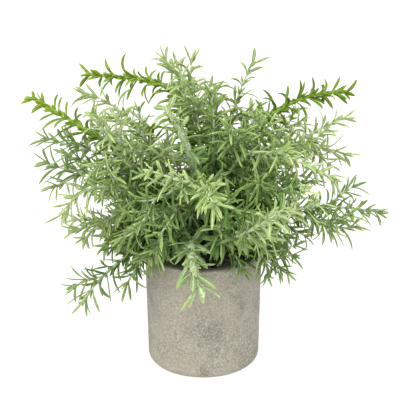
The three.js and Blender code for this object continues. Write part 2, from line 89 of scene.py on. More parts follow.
SPRIGS = {
    "sprig_left_high": ("fresh", (-0.015, 0.007), [
        shoot(0.060, (-0.085, 0.018, 0.176), (-0.127, 0.025, 0.202))]),
    "sprig_left_top": ("fresh", (-0.007, 0.015), [
        shoot(0.136, (-0.011, 0.038, 0.213), (-0.087, 0.044, 0.217))]),
    "sprig_left_crown": ("dusty", (-0.013, -0.007), [
        shoot(0.065, (-0.056, -0.010, 0.212), (-0.083, -0.012, 0.214)),
        shoot(0.020, (-0.062, -0.044, 0.180), (-0.073, -0.052, 0.208), 0.46)]),
    "sprig_left_middle": ("dusty", (-0.022, -0.001), [
        shoot(0.064, (-0.060, 0.006, 0.162), (-0.116, 0.012, 0.174)),
        shoot(0.018, (-0.078, -0.034, 0.155), (-0.109, -0.042, 0.172), 0.42)]),
    "sprig_left_low": ("dusty", (-0.025, -0.010), [
        shoot(0.042, (-0.076, -0.050, 0.182), (-0.096, -0.060, 0.142)),
        shoot(0.015, (-0.052, -0.018, 0.122), (-0.093, -0.022, 0.115), 0.45)]),
    "sprig_left_rim": ("dusty", (-0.028, -0.003), [
        shoot(0.022, (-0.073, -0.034, 0.093), (-0.087, -0.040, 0.066)),
        shoot(0.012, (-0.049, 0.022, 0.119), (-0.077, 0.028, 0.084), 0.30)]),
    "sprig_top_left": ("dusty", (-0.004, 0.005), [
        shoot(0.084, (0.008, -0.004, 0.200), (-0.026, -0.008, 0.238)),
        shoot(0.020, (-0.013, 0.026, 0.206), (-0.009, 0.032, 0.228), 0.52)]),
    "sprig_top_middle": ("dusty", (0.004, -0.004), [
        shoot(0.060, (0.011, -0.014, 0.190), (0.006, -0.016, 0.213)),
        shoot(0.016, (0.020, -0.030, 0.174), (0.027, -0.040, 0.193), 0.60)]),
    "sprig_top_right": ("dusty", (0.010, 0.006), [
        shoot(0.070, (0.022, 0.016, 0.204), (0.036, 0.020, 0.229)),
        shoot(0.018, (0.038, -0.012, 0.173), (0.047, -0.024, 0.194), 0.50)]),
    "sprig_front_upright": ("frosted", (-0.006, -0.014), [
        shoot(0.060, (0.002, -0.046, 0.166), (-0.024, -0.052, 0.213)),
        shoot(0.014, (-0.028, -0.060, 0.146), (-0.044, -0.072, 0.155), 0.50, "dusty", 0.6)]),
    "sprig_front_left": ("tipped", (-0.012, -0.020), [
        shoot(0.086, (0.025, -0.066, 0.150), (-0.034, -0.082, 0.179)),
        shoot(0.014, (-0.029, -0.050, 0.136), (-0.054, -0.064, 0.125), 0.45, "dusty", 0.5)]),
    "sprig_front_centre": ("tipped", (0.003, -0.018), [
        shoot(0.048, (-0.003, -0.080, 0.176), (0.007, -0.106, 0.165)),
        shoot(0.012, (0.013, -0.078, 0.146), (0.018, -0.092, 0.163), 0.50, "dusty", 0.3)]),
    "sprig_front_rim": ("frosted", (-0.004, -0.028), [
        shoot(0.030, (-0.015, -0.068, 0.126), (-0.003, -0.076, 0.092))]),
    "sprig_front_right": ("tipped", (0.008, -0.025), [
        shoot(0.040, (0.003, -0.060, 0.101), (0.053, -0.094, 0.156)),
        shoot(0.014, (0.058, -0.060, 0.140), (0.076, -0.072, 0.153), 0.45)]),
    "sprig_right_high": ("fresh", (0.015, 0.014), [
        shoot(0.060, (0.037, 0.030, 0.208), (0.108, 0.035, 0.205))]),
    "sprig_right_crown": ("dusty", (0.020, 0.004), [
        shoot(0.055, (0.073, 0.000, 0.183), (0.102, -0.004, 0.194)),
        shoot(0.018, (0.078, 0.038, 0.169), (0.111, 0.042, 0.154), 0.45)]),
    "sprig_right_middle": ("tipped", (0.014, -0.009), [
        shoot(0.080, (0.018, -0.042, 0.201), (0.090, -0.048, 0.164)),
        shoot(0.014, (0.039, -0.056, 0.152), (0.058, -0.070, 0.163), 0.42, "dusty", 0.35)]),
    "sprig_right_low": ("dusty", (0.024, -0.008), [
        shoot(0.030, (0.072, -0.014, 0.138), (0.129, -0.016, 0.126)),
        shoot(0.014, (0.090, -0.044, 0.121), (0.105, -0.050, 0.127), 0.42)]),
    "sprig_right_rim": ("dusty", (0.027, -0.018), [
        shoot(0.017, (0.030, -0.030, 0.098), (0.065, -0.036, 0.099)),
        shoot(0.008, (0.047, -0.036, 0.104), (0.047, -0.046, 0.089), 0.30)]),
    "sprig_right_back": ("dusty", (0.026, 0.012), [
        shoot(0.032, (0.065, 0.046, 0.126), (0.086, 0.054, 0.127)),
        shoot(0.012, (0.063, 0.016, 0.103), (0.080, 0.020, 0.093), 0.35)]),
    "sprig_back_crown": ("dusty", (0.003, 0.019), [
        shoot(0.066, (0.004, 0.050, 0.174), (0.010, 0.066, 0.198)),
        shoot(0.018, (0.040, 0.060, 0.162), (0.052, 0.074, 0.176), 0.48)]),
    "sprig_back_left": ("dusty", (-0.013, 0.022), [
        shoot(0.044, (-0.042, 0.076, 0.150), (-0.058, 0.098, 0.152)),
        shoot(0.014, (-0.072, 0.062, 0.126), (-0.096, 0.072, 0.118), 0.45)]),
    "sprig_back_middle": ("dusty", (0.009, 0.027), [
        shoot(0.040, (0.010, 0.088, 0.148), (0.006, 0.118, 0.142)),
        shoot(0.014, (0.038, 0.084, 0.122), (0.056, 0.100, 0.112), 0.42)]),
    "sprig_back_right": ("tipped", (0.019, 0.023), [
        shoot(0.040, (0.058, 0.076, 0.140), (0.084, 0.096, 0.144)),
        shoot(0.014, (0.062, 0.062, 0.160), (0.074, 0.070, 0.182), 0.45)]),
    "sprig_back_rim": ("dusty", (-0.002, 0.030), [
        shoot(0.020, (-0.010, 0.068, 0.110), (-0.014, 0.086, 0.072)),
        shoot(0.012, (-0.032, 0.062, 0.106), (-0.050, 0.076, 0.090), 0.30)]),
    "sprig_back_corner": ("dusty", (-0.023, 0.015), [
        shoot(0.022, (-0.058, 0.044, 0.112), (-0.080, 0.056, 0.088)),
        shoot(0.012, (-0.064, 0.040, 0.128), (-0.092, 0.046, 0.138), 0.40)]),
}

# How the kinds of growth differ, in metres and degrees.
# - pitch: the spacing of the whorls of leaves; stem: its radius at its foot and at its tip; ripple: how much
#   it swells at each whorl
# - closing: by which share the leaves close up at a shoot's tip; tip_size: how long and how wide they are
#   there, as shares of the others; thick: a factor on their thickness; twist: how far they turn about their
#   own length, either way
# - twigs: how many there are to a metre; twigs_reach: up to which share of a shoot's length they stand
# - long leaves, and short ones in their axils: how many make a whorl, how many times closer than the pitch
#   their whorls stand, their lengths and widths, the angles that they stand off the stem at (spread) and bend
#   further out by (recurve), how far their tips sag as a share of their length, the share of it where they
#   are widest, how blunt they are and how much powdery bloom they carry
KINDS = {
    "fresh": {
        "pitch": 0.0096, "stem": (0.00165, 0.00130), "ripple": 0.16, "closing": 0.50,
        "tip_size": (0.60, 1.35), "thick": 1.2, "twist": (30, 80), "twigs": 30, "twigs_reach": 0.45,
        "long": {
            "count": 5, "closer": 1, "length": (0.0135, 0.0235), "width": (0.0017, 0.0026),
            "spread": (26, 60), "recurve": (15, 95), "sag": (-0.16, 0.24),
            "widest": 0.50, "blunt": 0.85, "powder": 0.0,
        },
        "short": {
            "count": 4, "closer": 2, "length": (0.0055, 0.0090), "width": (0.0021, 0.0032),
            "spread": (8, 34), "recurve": (-10, 20), "sag": (-0.1, 0.05),
            "widest": 0.60, "blunt": 0.95, "powder": 0.0,
        },
    },
    "dusty": {
        "pitch": 0.0078, "stem": (0.00110, 0.00080), "ripple": 0.18, "closing": 0.45,
        "tip_size": (0.82, 0.98), "thick": 1.0, "twist": (0, 60), "twigs": 48, "twigs_reach": 0.8,
        "long": {
            "count": 4, "closer": 1, "length": (0.0125, 0.0200), "width": (0.0017, 0.0028),
            "spread": (24, 60), "recurve": (0, 80), "sag": (-0.05, 0.25),
            "widest": 0.54, "blunt": 0.5, "powder": 0.0,
        },
        "short": {
            "count": 3, "closer": 1, "length": (0.0045, 0.0085), "width": (0.0014, 0.0023),
            "spread": (15, 50), "recurve": (0, 30), "sag": (0.0, 0.1),
            "widest": 0.55, "blunt": 0.5, "powder": 0.3,
        },
    },
    "tipped": {
        "pitch": 0.0078, "stem": (0.00135, 0.00105), "ripple": 0.22, "closing": 0.15,
        "tip_size": (0.90, 1.05), "thick": 1.0, "twist": (0, 60), "twigs": 34, "twigs_reach": 0.75,
        "long": {
            "count": 4, "closer": 1, "length": (0.0120, 0.0190), "width": (0.0019, 0.0031),
            "spread": (32, 70), "recurve": (0, 60), "sag": (0.0, 0.4),
            "widest": 0.54, "blunt": 0.55, "powder": 0.05,
        },
        "short": {
            "count": 5, "closer": 1, "length": (0.0035, 0.0080), "width": (0.0016, 0.0028),
            "spread": (18, 58), "recurve": (0, 25), "sag": (0.0, 0.1),
            "widest": 0.55, "blunt": 0.6, "powder": 0.6,
        },
    },
    "frosted": {
        "pitch": 0.0088, "stem": (0.00290, 0.00220), "ripple": 0.10, "closing": 0.12,
        "tip_size": (0.95, 1.05), "thick": 1.1, "twist": (0, 60), "twigs": 26, "twigs_reach": 0.6,
        "long": {
            "count": 5, "closer": 1, "length": (0.0125, 0.0185), "width": (0.0030, 0.0044),
            "spread": (44, 82), "recurve": (-15, 30), "sag": (0.0, 0.3),
            "widest": 0.52, "blunt": 0.5, "powder": 0.1,
        },
        "short": {
            "count": 9, "closer": 3, "length": (0.0026, 0.0056), "width": (0.0014, 0.0024),
            "spread": (25, 70), "recurve": (0, 30), "sag": (0.0, 0.05),
            "widest": 0.55, "blunt": 0.8, "powder": 1.0,
        },
    },
}

# How young a sprig's leaves are at its foot and at its tips, from 0 for deep old green to 1 for new growth,
# over which share of its length from the foot it is bare, how much more bloom its leaves carry than others of
# their kind, how large they are and how many twigs it has, both as shares of what is usual. A sprig that is
# not named here is as in USUAL.
# These youths also paint light and shade: lit sprigs are younger and paler, shaded ones older and deeper.
USUAL = (0.0, 0.85, 0.06, 0.0, 1.0, 1.0)
HABITS = {
    "sprig_left_high": (0.10, 1.00, 0.10, 0.00, 1.00, 1.00),
    "sprig_left_top": (0.16, 0.90, 0.30, 0.20, 1.00, 1.00),
    "sprig_left_crown": (0.25, 1.10, 0.15, 0.45, 1.00, 1.30),
    "sprig_left_middle": (0.05, 0.55, 0.06, 0.15, 1.08, 1.00),
    "sprig_left_low": (0.05, 1.00, 0.06, 0.15, 1.00, 0.90),
    "sprig_left_rim": (0.05, 0.70, 0.10, 0.00, 1.12, 0.80),
    "sprig_top_left": (0.00, 1.10, 0.20, 0.15, 1.08, 1.40),
    "sprig_top_middle": (0.00, 0.65, 0.15, 0.00, 1.00, 1.00),
    "sprig_top_right": (0.00, 0.85, 0.15, 0.10, 1.00, 1.00),
    "sprig_front_upright": (0.00, 0.75, 0.30, 0.10, 0.88, 1.20),
    "sprig_front_left": (0.00, 1.10, 0.42, 0.10, 1.00, 0.80),
    "sprig_front_centre": (0.00, 1.10, 0.60, 0.00, 1.00, 0.30),
    "sprig_front_right": (0.05, 0.85, 0.15, 0.55, 1.00, 1.10),
    "sprig_front_rim": (0.10, 0.80, 0.25, 0.28, 1.12, 0.00),
    "sprig_right_high": (0.00, 0.58, 0.30, 0.00, 1.00, 1.00),
    "sprig_right_crown": (0.10, 1.00, 0.06, 0.15, 1.00, 1.00),
    "sprig_right_middle": (0.00, 0.95, 0.38, 0.15, 1.00, 0.95),
    "sprig_right_low": (0.05, 0.60, 0.15, 0.05, 1.00, 1.10),
    "sprig_right_rim": (0.10, 0.50, 0.20, 0.00, 0.85, 0.50),
    "sprig_right_back": (0.00, 0.50, 0.20, 0.00, 0.90, 0.40),
    "sprig_back_crown": (0.00, 0.85, 0.06, 0.00, 1.00, 1.35),
    "sprig_back_left": (0.00, 0.85, 0.06, 0.00, 1.00, 1.35),
}

# ---- Shapes ----

UP = np.array([0.0, 0.0, 1.0])
CORNERS = np.array([[x, y, z] for x in (0, 1) for y in (0, 1) for z in (0, 1)])
# What the noise is hashed with: weights of a cell's three numbers and of its seed, and the sine's height.
HASH_WEIGHTS = np.array([12.9898, 78.233, 37.719])
HASH_SEED, HASH_HEIGHT = 7.13, 43758.5453
AXIS_RING = 0.0005  # radius of the small ring that shuts the pot's turned surface on its axis


def ease(x, low, high):
    """Goes from 0 at low to 1 at high along 3t^2 - 2t^3."""
    t = np.clip((x - low) / (high - low), 0.0, 1.0)
    return t * t * (3.0 - 2.0 * t)


def unit(vectors):
    """Each vector divided by its own length."""
    return vectors / np.linalg.norm(vectors, axis=-1, keepdims=True)


def cell_number(cells, seed):
    """A repeatable number from 0 to 1 for each cell: what stands behind the point of a large sine."""
    value = np.sin(cells @ HASH_WEIGHTS + seed * HASH_SEED) * HASH_HEIGHT
    return value - np.floor(value)


def lumps(points, size, seed):
    """Smooth noise from -1 to 1: cell numbers on a lattice of this size, blended between a cell's corners."""
    cells = np.floor(points / size)
    share = points / size - cells
    share = share * share * (3.0 - 2.0 * share)
    total = sum(
        np.where(corner, share, 1.0 - share).prod(axis=-1) * cell_number(cells + corner, seed)
        for corner in CORNERS
    )
    return 2.0 * total - 1.0


def layer(points, share, size, seed):
    """One size of smooth noise, from -share to share."""
    return share * lumps(points, size, seed)


def turned(radius, height, angle):
    """Points turned round Z: (r cos a, r sin a, z) for columns of radii and heights and a row of angles."""
    return np.stack([radius * np.cos(angle), radius * np.sin(angle), height + 0.0 * angle], -1)


def between(pair, share):
    """From the first of a pair to the second by a share of the way."""
    return pair[0] + (pair[1] - pair[0]) * share


def grid_quads(rows, columns, start=0):
    """The corners of the quads of a grid that is numbered row by row and closes on itself across."""
    row, column = np.meshgrid(np.arange(rows - 1), np.arange(columns), indexing="ij")
    after = (column + 1) % columns
    here, above = row * columns, (row + 1) * columns
    quads = np.stack([here + column, here + after, above + after, above + column], -1)
    return start + quads.reshape(-1, 4)


def tube_faces(rows, columns, start=0):
    """The quads of a closed grid, and the two flat ends that shut it."""
    last = start + (rows - 1) * columns
    first_end = np.arange(start, start + columns)[None, ::-1]
    last_end = np.arange(last, last + columns)[None, :]
    return [grid_quads(rows, columns, start), first_end, last_end]


def new_mesh(name, points, faces, values=None, uv=None, materials=()):
    """A smooth mesh from an array of points and lists of faces, each an array with one face a row.

    `values` holds numbers for each point under their names, and `uv` a place on the surface for each point.
    """
    mesh = bpy.data.meshes.new(name)
    corners = np.concatenate([group.ravel() for group in faces]).astype(np.int32)
    sizes = np.concatenate([np.full(len(group), group.shape[1]) for group in faces])
    starts = np.concatenate([[0], np.cumsum(sizes)[:-1]]).astype(np.int32)
    mesh.vertices.add(len(points))
    mesh.vertices.foreach_set("co", points.astype(np.float32).ravel())
    mesh.loops.add(len(corners))
    mesh.loops.foreach_set("vertex_index", corners)
    mesh.polygons.add(len(sizes))
    mesh.polygons.foreach_set("loop_start", starts)
    mesh.update(calc_edges=True)
    mesh.shade_smooth()
    for label, numbers in (values or {}).items():
        held = mesh.attributes.new(label, "FLOAT", "POINT")
        held.data.foreach_set("value", numbers.astype(np.float32).ravel())
    if uv is not None:
        surface = mesh.uv_layers.new(name="surface")
        surface.data.foreach_set("uv", uv[corners].astype(np.float32).ravel())
    for material in materials:
        mesh.materials.append(material)
    return mesh


def new_piece(name, mesh, node):
    """The mesh as an object at the origin, which rides on the one body and stands for a CAD node."""
    piece = bpy.data.objects.new(name, mesh)
    bpy.context.scene.collection.objects.link(piece)
    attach(piece, "root")
    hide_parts(node)
    return piece


# ---- The pot ----

# Steps along the pot's outline: below it, round its foot, up its wall, round each edge of its rim, across the
# rim, down its inside and across its floor.
UNDER_STEPS, FOOT_STEPS, WALL_STEPS, EDGE_STEPS, RIM_STEPS, INSIDE_STEPS, FLOOR_STEPS = 8, 10, 90, 6, 5, 24, 6
# Its unevenness: wide waves and smaller dents as share, size and seed, and pits.
WAVES, DENTS = (0.5, 0.011, 1), (0.3, 0.0042, 2)
PIT_SIZE, PIT_SEED, PIT_DEPTH = 0.0017, 3, 1.2
PITS_FROM, PITS_FULL = 0.45, 0.95  # where pits start and are deepest, on noise from -1 to 1
UNEVEN_FROM = 0.004  # height up to which the unevenness grows from none, so that the underside stays flat


def arc(x, z, radius, start, end, steps):
    """Points round (x, z) from one angle to another, in degrees."""
    angle = np.radians(np.linspace(start, end, steps))
    return np.stack([x + radius * np.cos(angle), z + radius * np.sin(angle)], -1)


def straight(start, end, steps):
    """Evenly spaced points between two, without the two."""
    share = np.linspace(0.0, 1.0, steps + 2)[1:-1, None]
    return np.array(start) * (1.0 - share) + np.array(end) * share


def pot_profile(pot):
    """The pot's outline as (radius, height): its flat underside, round foot, wall, rim, inside and floor."""
    foot, rim, top = pot.foot_radius, pot.rim_radius, pot.height
    inner_rim, inner_foot = rim - pot.wall, foot - pot.wall
    low = arc(foot - pot.foot_round, pot.foot_round, pot.foot_round, -90, 0, FOOT_STEPS)
    high = arc(rim - pot.rim_round, top - pot.rim_round, pot.rim_round, 0, 90, EDGE_STEPS)
    inside = arc(inner_rim + pot.rim_round, top - pot.rim_round, pot.rim_round, 90, 180, EDGE_STEPS)
    bottom = np.array([[inner_foot, pot.floor]])
    return np.concatenate([
        straight((AXIS_RING, 0.0), low[0], UNDER_STEPS), low,
        straight(low[-1], high[0], WALL_STEPS), high,
        straight(high[-1], inside[0], RIM_STEPS), inside,
        straight(inside[-1], bottom[0], INSIDE_STEPS), bottom,
        straight(bottom[0], (AXIS_RING, pot.floor), FLOOR_STEPS),
    ])


def pot_points(pot):
    """The profile turned round Z and then moved along its own normal by noise."""
    profile = pot_profile(pot)
    angle = np.linspace(0.0, 2.0 * np.pi, pot.sides, endpoint=False)
    height = profile[:, 1:]
    points = turned(profile[:, :1], height, angle)
    slope = np.gradient(profile, axis=0)
    outward = unit(np.stack([slope[:, 1], -slope[:, 0]], -1))
    normal = turned(outward[:, :1], outward[:, 1:], angle)
    pits = ease(lumps(points, PIT_SIZE, PIT_SEED), PITS_FROM, PITS_FULL)
    relief = pot.relief * (layer(points, *WAVES) + layer(points, *DENTS) - PIT_DEPTH * pits)
    return points + normal * (relief * ease(height, 0.0, UNEVEN_FROM))[..., None]


def make_pot(pot, materials):
    """The pot as one closed mesh: its turned grid, and a small flat end below and on its floor."""
    points = pot_points(pot)
    rows, columns = points.shape[:2]
    return new_mesh("cement_pot", points.reshape(-1, 3), tube_faces(rows, columns), materials=materials)


# ---- The soil ----

SOIL_RINGS, SOIL_SPOKES, SOIL_WALL_STEPS = 74, 220, 10
SOIL_MIDDLE = 0.004  # the smallest ring of the soil's top, as a share of its radius
# Its roughness as share, size and seed, and what the three come to on average.
COARSE, MEDIUM, FINE = (0.75, 0.0052, 11), (0.45, 0.0023, 12), (0.2, 0.001, 13)
USUAL_CRUMB = 0.45
# Loose lumps: the seed of their draws, their rings and sides, the angle that each pole leaves free, their
# sizes as shares of the largest and of that along each axis, how far inside the wall they stay as a share of
# the largest, and the roughness of a unit ball's surface with the scale of its noise, its seed and the step
# from one lump's noise to the next.
LUMP_DRAWS, LUMP_RINGS, LUMP_SIDES, LUMP_POLE = 21, 6, 8, 0.12
LUMP_SIZES, LUMP_STRETCH, LUMP_MARGIN = (0.35, 1.0), (0.6, 1.0), 1.3
LUMP_ROUGH, LUMP_SCALE, LUMP_SEED, LUMP_STEP = 0.28, 1.9, 31, 5.0


def soil_height(x, y, soil):
    """The height of the soil's top: a low mound with coarse and fine lumps."""
    place = np.stack([x, y, 0.0 * x], -1)
    share = np.hypot(x, y) / soil.radius
    crumbs = np.abs(layer(place, *COARSE)) + np.abs(layer(place, *MEDIUM)) + layer(place, *FINE)
    return soil.top - soil.mound * share**2 + soil.crumb * (crumbs - USUAL_CRUMB)


def make_soil(soil, materials):
    """A plug over a polar grid, with loose lumps: rings from below up the wall and over the top."""
    rings = np.linspace(SOIL_MIDDLE, 1.0, SOIL_RINGS)
    angle = np.linspace(0.0, 2.0 * np.pi, SOIL_SPOKES, endpoint=False)
    x, y = soil.radius * rings[:, None] * np.cos(angle), soil.radius * rings[:, None] * np.sin(angle)
    top = np.stack([x, y, soil_height(x, y, soil)], -1)[::-1]
    down = np.linspace(0.0, 1.0, SOIL_WALL_STEPS)[1:, None]
    wall_radius = soil.radius * (1 - down) + soil.foot_radius * down
    wall = turned(wall_radius, top[0, :, 2] * (1 - down) + soil.floor * down, angle)
    grid = np.concatenate([wall[::-1], top])
    rows, columns = grid.shape[:2]
    lump_points, lump_faces = soil_lumps(soil, start=rows * columns)
    points = np.concatenate([grid.reshape(-1, 3), lump_points])
    return new_mesh("charcoal_soil", points, [*tube_faces(rows, columns), *lump_faces], materials=materials)


def soil_lumps(soil, start):
    """Loose lumps lying on the soil: unit spheres, stretched, roughened and set half into its top."""
    random = np.random.default_rng(LUMP_DRAWS)
    down = np.linspace(LUMP_POLE, np.pi - LUMP_POLE, LUMP_RINGS)[:, None]
    angle = np.linspace(0.0, 2.0 * np.pi, LUMP_SIDES, endpoint=False)
    ball = turned(np.sin(down), np.cos(down), angle)
    count = soil.lumps
    size = soil.lump_size * random.uniform(*LUMP_SIZES, (count, 1, 1, 1))
    size = size * random.uniform(*LUMP_STRETCH, (count, 1, 1, 3))
    far = (soil.radius - soil.lump_size * LUMP_MARGIN) * np.sqrt(random.uniform(0.0, 1.0, count))
    turn = random.uniform(0.0, 2.0 * np.pi, count)
    x, y = far * np.cos(turn), far * np.sin(turn)
    middle = np.stack([x, y, soil_height(x, y, soil)], -1)
    places = ball[None] * LUMP_SCALE + np.arange(count)[:, None, None, None] * LUMP_STEP
    rough = 1.0 + layer(places, LUMP_ROUGH, 1.0, LUMP_SEED)
    points = middle[:, None, None, :] + ball[None] * size * rough[..., None]
    offsets = start + np.arange(count)[:, None, None] * LUMP_RINGS * LUMP_SIDES
    groups = tube_faces(LUMP_RINGS, LUMP_SIDES)
    faces = [(group[None] + offsets).reshape(-1, group.shape[1])[:, ::-1] for group in groups]
    return points.reshape(-1, 3), faces


# ---- Stems ----

FOOT_START = 0.063  # height at which a stem's foot ends, deep in the soil
STEM_START = 0.087  # height at which a main stem begins to bend
BARE_SIDE = 0.004  # how far a side shoot or a twig is bare from its foot
STEM_STEPS, TWIG_STEPS, CURVE_STEPS = 64, 14, 400
STEM_SIDES, STEM_SQUARENESS = 8, 3
# A stem thins towards its tip by this share more than its kind says, from this share of its length on.
STEM_THINNER, THINNER_FROM = 0.4, 0.75
# How long a bud is, and where on it its middle ring stands and its surface would close, as shares of that.
BUD_LENGTH, BUD_MIDDLE, BUD_CLOSED = 0.003, 0.4, 1.05
SIDE_STEM = 0.85  # of a side shoot at its foot, as a share of what its kind has there
TINY = 1e-6

# Twigs: their stems' radii, the length and the width of their leaves as shares of the others, and how much
# younger they are at the tip than at the foot, as a share of what is left up to new growth.
TWIG_STEM, TWIG_SIZE, TWIG_SLIM, TWIG_YOUTH = (0.00080, 0.00055), 0.92, 0.84, 0.3
TWIG_MARGIN = 0.004  # how far twigs stay within the plant's box and off the pot and the soil
# Where they stand between one place and the next, how far they turn from one to the next, which is nearly the
# golden angle, with some play, and by how many degrees they lean off the shoot.
TWIG_PLACES, TWIG_TURN, TWIG_TURN_PLAY, TWIG_LEAN = (0.1, 0.9), 2.4, 0.5, (34, 62)
# Their lengths as shares of the usual one, and how much shorter they are at the shoot's tip. The handles of
# their curve lie at two shares of their length. They bend back towards the shoot's heading, with some play.
TWIG_LENGTHS, TWIG_SHORTER = (0.7, 1.15), 0.62
TWIG_RISE, TWIG_SHOULDER, TWIG_RETURN, TWIG_PLAY = 0.3, 0.6, 0.45, 0.35

# The skirt of low twigs: at which shares of a main stem they leave it, how far they turn from the stem's own
# side of the pot, how far they reach beyond the rim, how high they arch and where they end above their foot.
SKIRT_PLACES, SKIRT_TURN_PLAY, SKIRT_BEYOND = (0.03, 0.20), 1.0, (0.004, 0.020)
SKIRT_ARCH, SKIRT_END = (0.008, 0.020), (-0.004, 0.008)
# SKIRT_YOUTH is partly painted light: the skirt's leaves grow younger and paler towards their tips over the
# rim.
SKIRT_RISE, SKIRT_SHOULDER, SKIRT_YOUTH = 0.010, 0.7, 0.45
SKIRT_GAP_TURN = -0.08  # the middle of the gap that the skirt leaves in front, in radians from -Y towards +X


def shoot_route(start, heading, way, steps=STEM_STEPS):
    """A shoot's cubic curve from `start` to its tip, drawn by its two handles, with even steps along it.

    Its points are (1-t)^3 a + 3(1-t)^2 t b + 3(1-t) t^2 c + t^3 d, looked up again at equal lengths.
    """
    a, d = np.array(start), np.array(way["tip"])
    b, c = a + np.array(heading) * way["rise"], np.array(way["shoulder"])
    t = np.linspace(0.0, 1.0, CURVE_STEPS)[:, None]
    fine = (1 - t) ** 3 * a + 3 * (1 - t) ** 2 * t * b + 3 * (1 - t) * t**2 * c + t**3 * d
    run = np.concatenate([[0.0], np.cumsum(np.linalg.norm(np.diff(fine, axis=0), axis=1))])
    even = np.linspace(0.0, run[-1], steps)
    points = np.stack([np.interp(even, run, fine[:, k]) for k in range(3)], -1)
    return {"points": points, "run": even, "length": run[-1], "flat": unit(np.cross(UP, d - a + TINY))}


def place_on(route, run):
    """The points of a route at distances along it, the headings there and two directions across."""
    points = np.stack([np.interp(run, route["run"], route["points"][:, k]) for k in range(3)], -1)
    slopes = np.gradient(route["points"], route["run"], axis=0)
    heading = unit(np.stack([np.interp(run, route["run"], slopes[:, k]) for k in range(3)], -1))
    across = unit(route["flat"] - heading * (heading @ route["flat"])[..., None])
    return points, heading, across, np.cross(heading, across)


def around(across, side, turn):
    """The directions off a stem at these angles round it."""
    return across * np.cos(turn)[:, None] + side * np.sin(turn)[:, None]


def stem_points(route, radii, ripple, pitch, foot):
    """Rounded squares along a route. Their radius falls from one end to the other and swells at each whorl.

    At the tip they close to a bud. A main stem goes on straight down into the soil.
    """
    end = route["length"]
    run = np.concatenate([route["run"], [end + BUD_MIDDLE * BUD_LENGTH, end + BUD_LENGTH]])
    points, heading, across, side = place_on(route, run)
    beyond = np.maximum(run - end, 0.0)
    points = points + heading * beyond[:, None]
    share = np.clip(run / end, 0.0, 1.0)
    radius = between(radii, share) * (1.0 - STEM_THINNER * ease(share, THINNER_FROM, 1.0))
    radius = radius * (1.0 + ripple * np.cos(2.0 * np.pi * run / pitch))
    radius = radius * (1.0 - ease(beyond, 0.0, BUD_LENGTH * BUD_CLOSED))
    if foot:
        low = points[0] - [0.0, 0.0, STEM_START - FOOT_START]
        points = np.concatenate([low[None], points])
        across, side = np.concatenate([across[:1], across]), np.concatenate([side[:1], side])
        radius, share = np.concatenate([radius[:1], radius]), np.concatenate([share[:1], share])
    angle = np.linspace(0.0, 2.0 * np.pi, STEM_SIDES, endpoint=False)
    cosine, sine = np.cos(angle), np.sin(angle)
    powers = np.abs(cosine) ** STEM_SQUARENESS + np.abs(sine) ** STEM_SQUARENESS
    square = 1.0 / powers ** (1.0 / STEM_SQUARENESS)
    spokes = across[:, None] * (square * cosine)[:, None] + side[:, None] * (square * sine)[:, None]
    return points[:, None] + spokes * radius[:, None, None], share


def twig_routes(random, route, kind, bare, settings):
    """Short side twigs of a shoot: they leave it beyond its bare stretch and up to their reach.

    They bend back towards its heading, and are shorter the nearer they are to its tip. One that would leave
    the plant's box, or touch the pot or the soil, is left out.
    """
    looks = settings.leaves
    foot = bare / route["length"]
    reach = kind["twigs_reach"] - foot
    count = int(round(kind["twigs"] * looks.twigs * route["twigs"] * route["length"] * reach))
    share = (np.arange(count) + random.uniform(*TWIG_PLACES, count)) / max(count, 1) * reach + foot
    points, heading, across, side = place_on(route, share * route["length"])
    turn = np.arange(count) * TWIG_TURN + random.uniform(-TWIG_TURN_PLAY, TWIG_TURN_PLAY, count)
    lean = np.radians(random.uniform(*TWIG_LEAN, count))[:, None]
    length = looks.twig_length * (1.0 - TWIG_SHORTER * share) * random.uniform(*TWIG_LENGTHS, count)
    leaving = heading * np.cos(lean) + around(across, side, turn) * np.sin(lean)
    shoulder = points + leaving * length[:, None] * TWIG_SHOULDER
    onward = unit(leaving + heading * TWIG_RETURN + random.uniform(-TWIG_PLAY, TWIG_PLAY, (count, 3)))
    tip = shoulder + onward * length[:, None] * (1.0 - TWIG_SHOULDER)
    ways = [shoot(TWIG_RISE * length[k], shoulder[k], tip[k]) for k in range(count)]
    routes = [twig_route(points[k], leaving[k], ways[k], route, share[k], TWIG_YOUTH) for k in range(count)]
    return [twig for twig in routes if has_room(twig, settings)]


def twig_route(start, heading, way, parent, share, gain):
    """A twig's route. Its leaves are as old at its foot as its parent's are there.

    At its tip they are younger, by `gain` as a share of what is left up to new growth.
    """
    age = between(parent["ages"], share)
    more = {"ages": (age, age + gain * (1.0 - age)), "powder": parent["powder"]}
    more |= {"size": TWIG_SIZE * parent["size"], "slim": TWIG_SLIM * parent["slim"]}
    return shoot_route(start, heading, way, TWIG_STEPS) | more


def has_room(twig, settings):
    """Whether a twig stays within the plant's box, and off the pot and the soil."""
    low, high = np.array(CAD_BOX) + [[TWIG_MARGIN], [-TWIG_MARGIN]]
    points = twig["points"]
    inside = (points > low).all() and (points < high).all()
    return inside and clear_of_pot(points[None, 1:], settings.pot, settings.soil, TWIG_MARGIN).all()


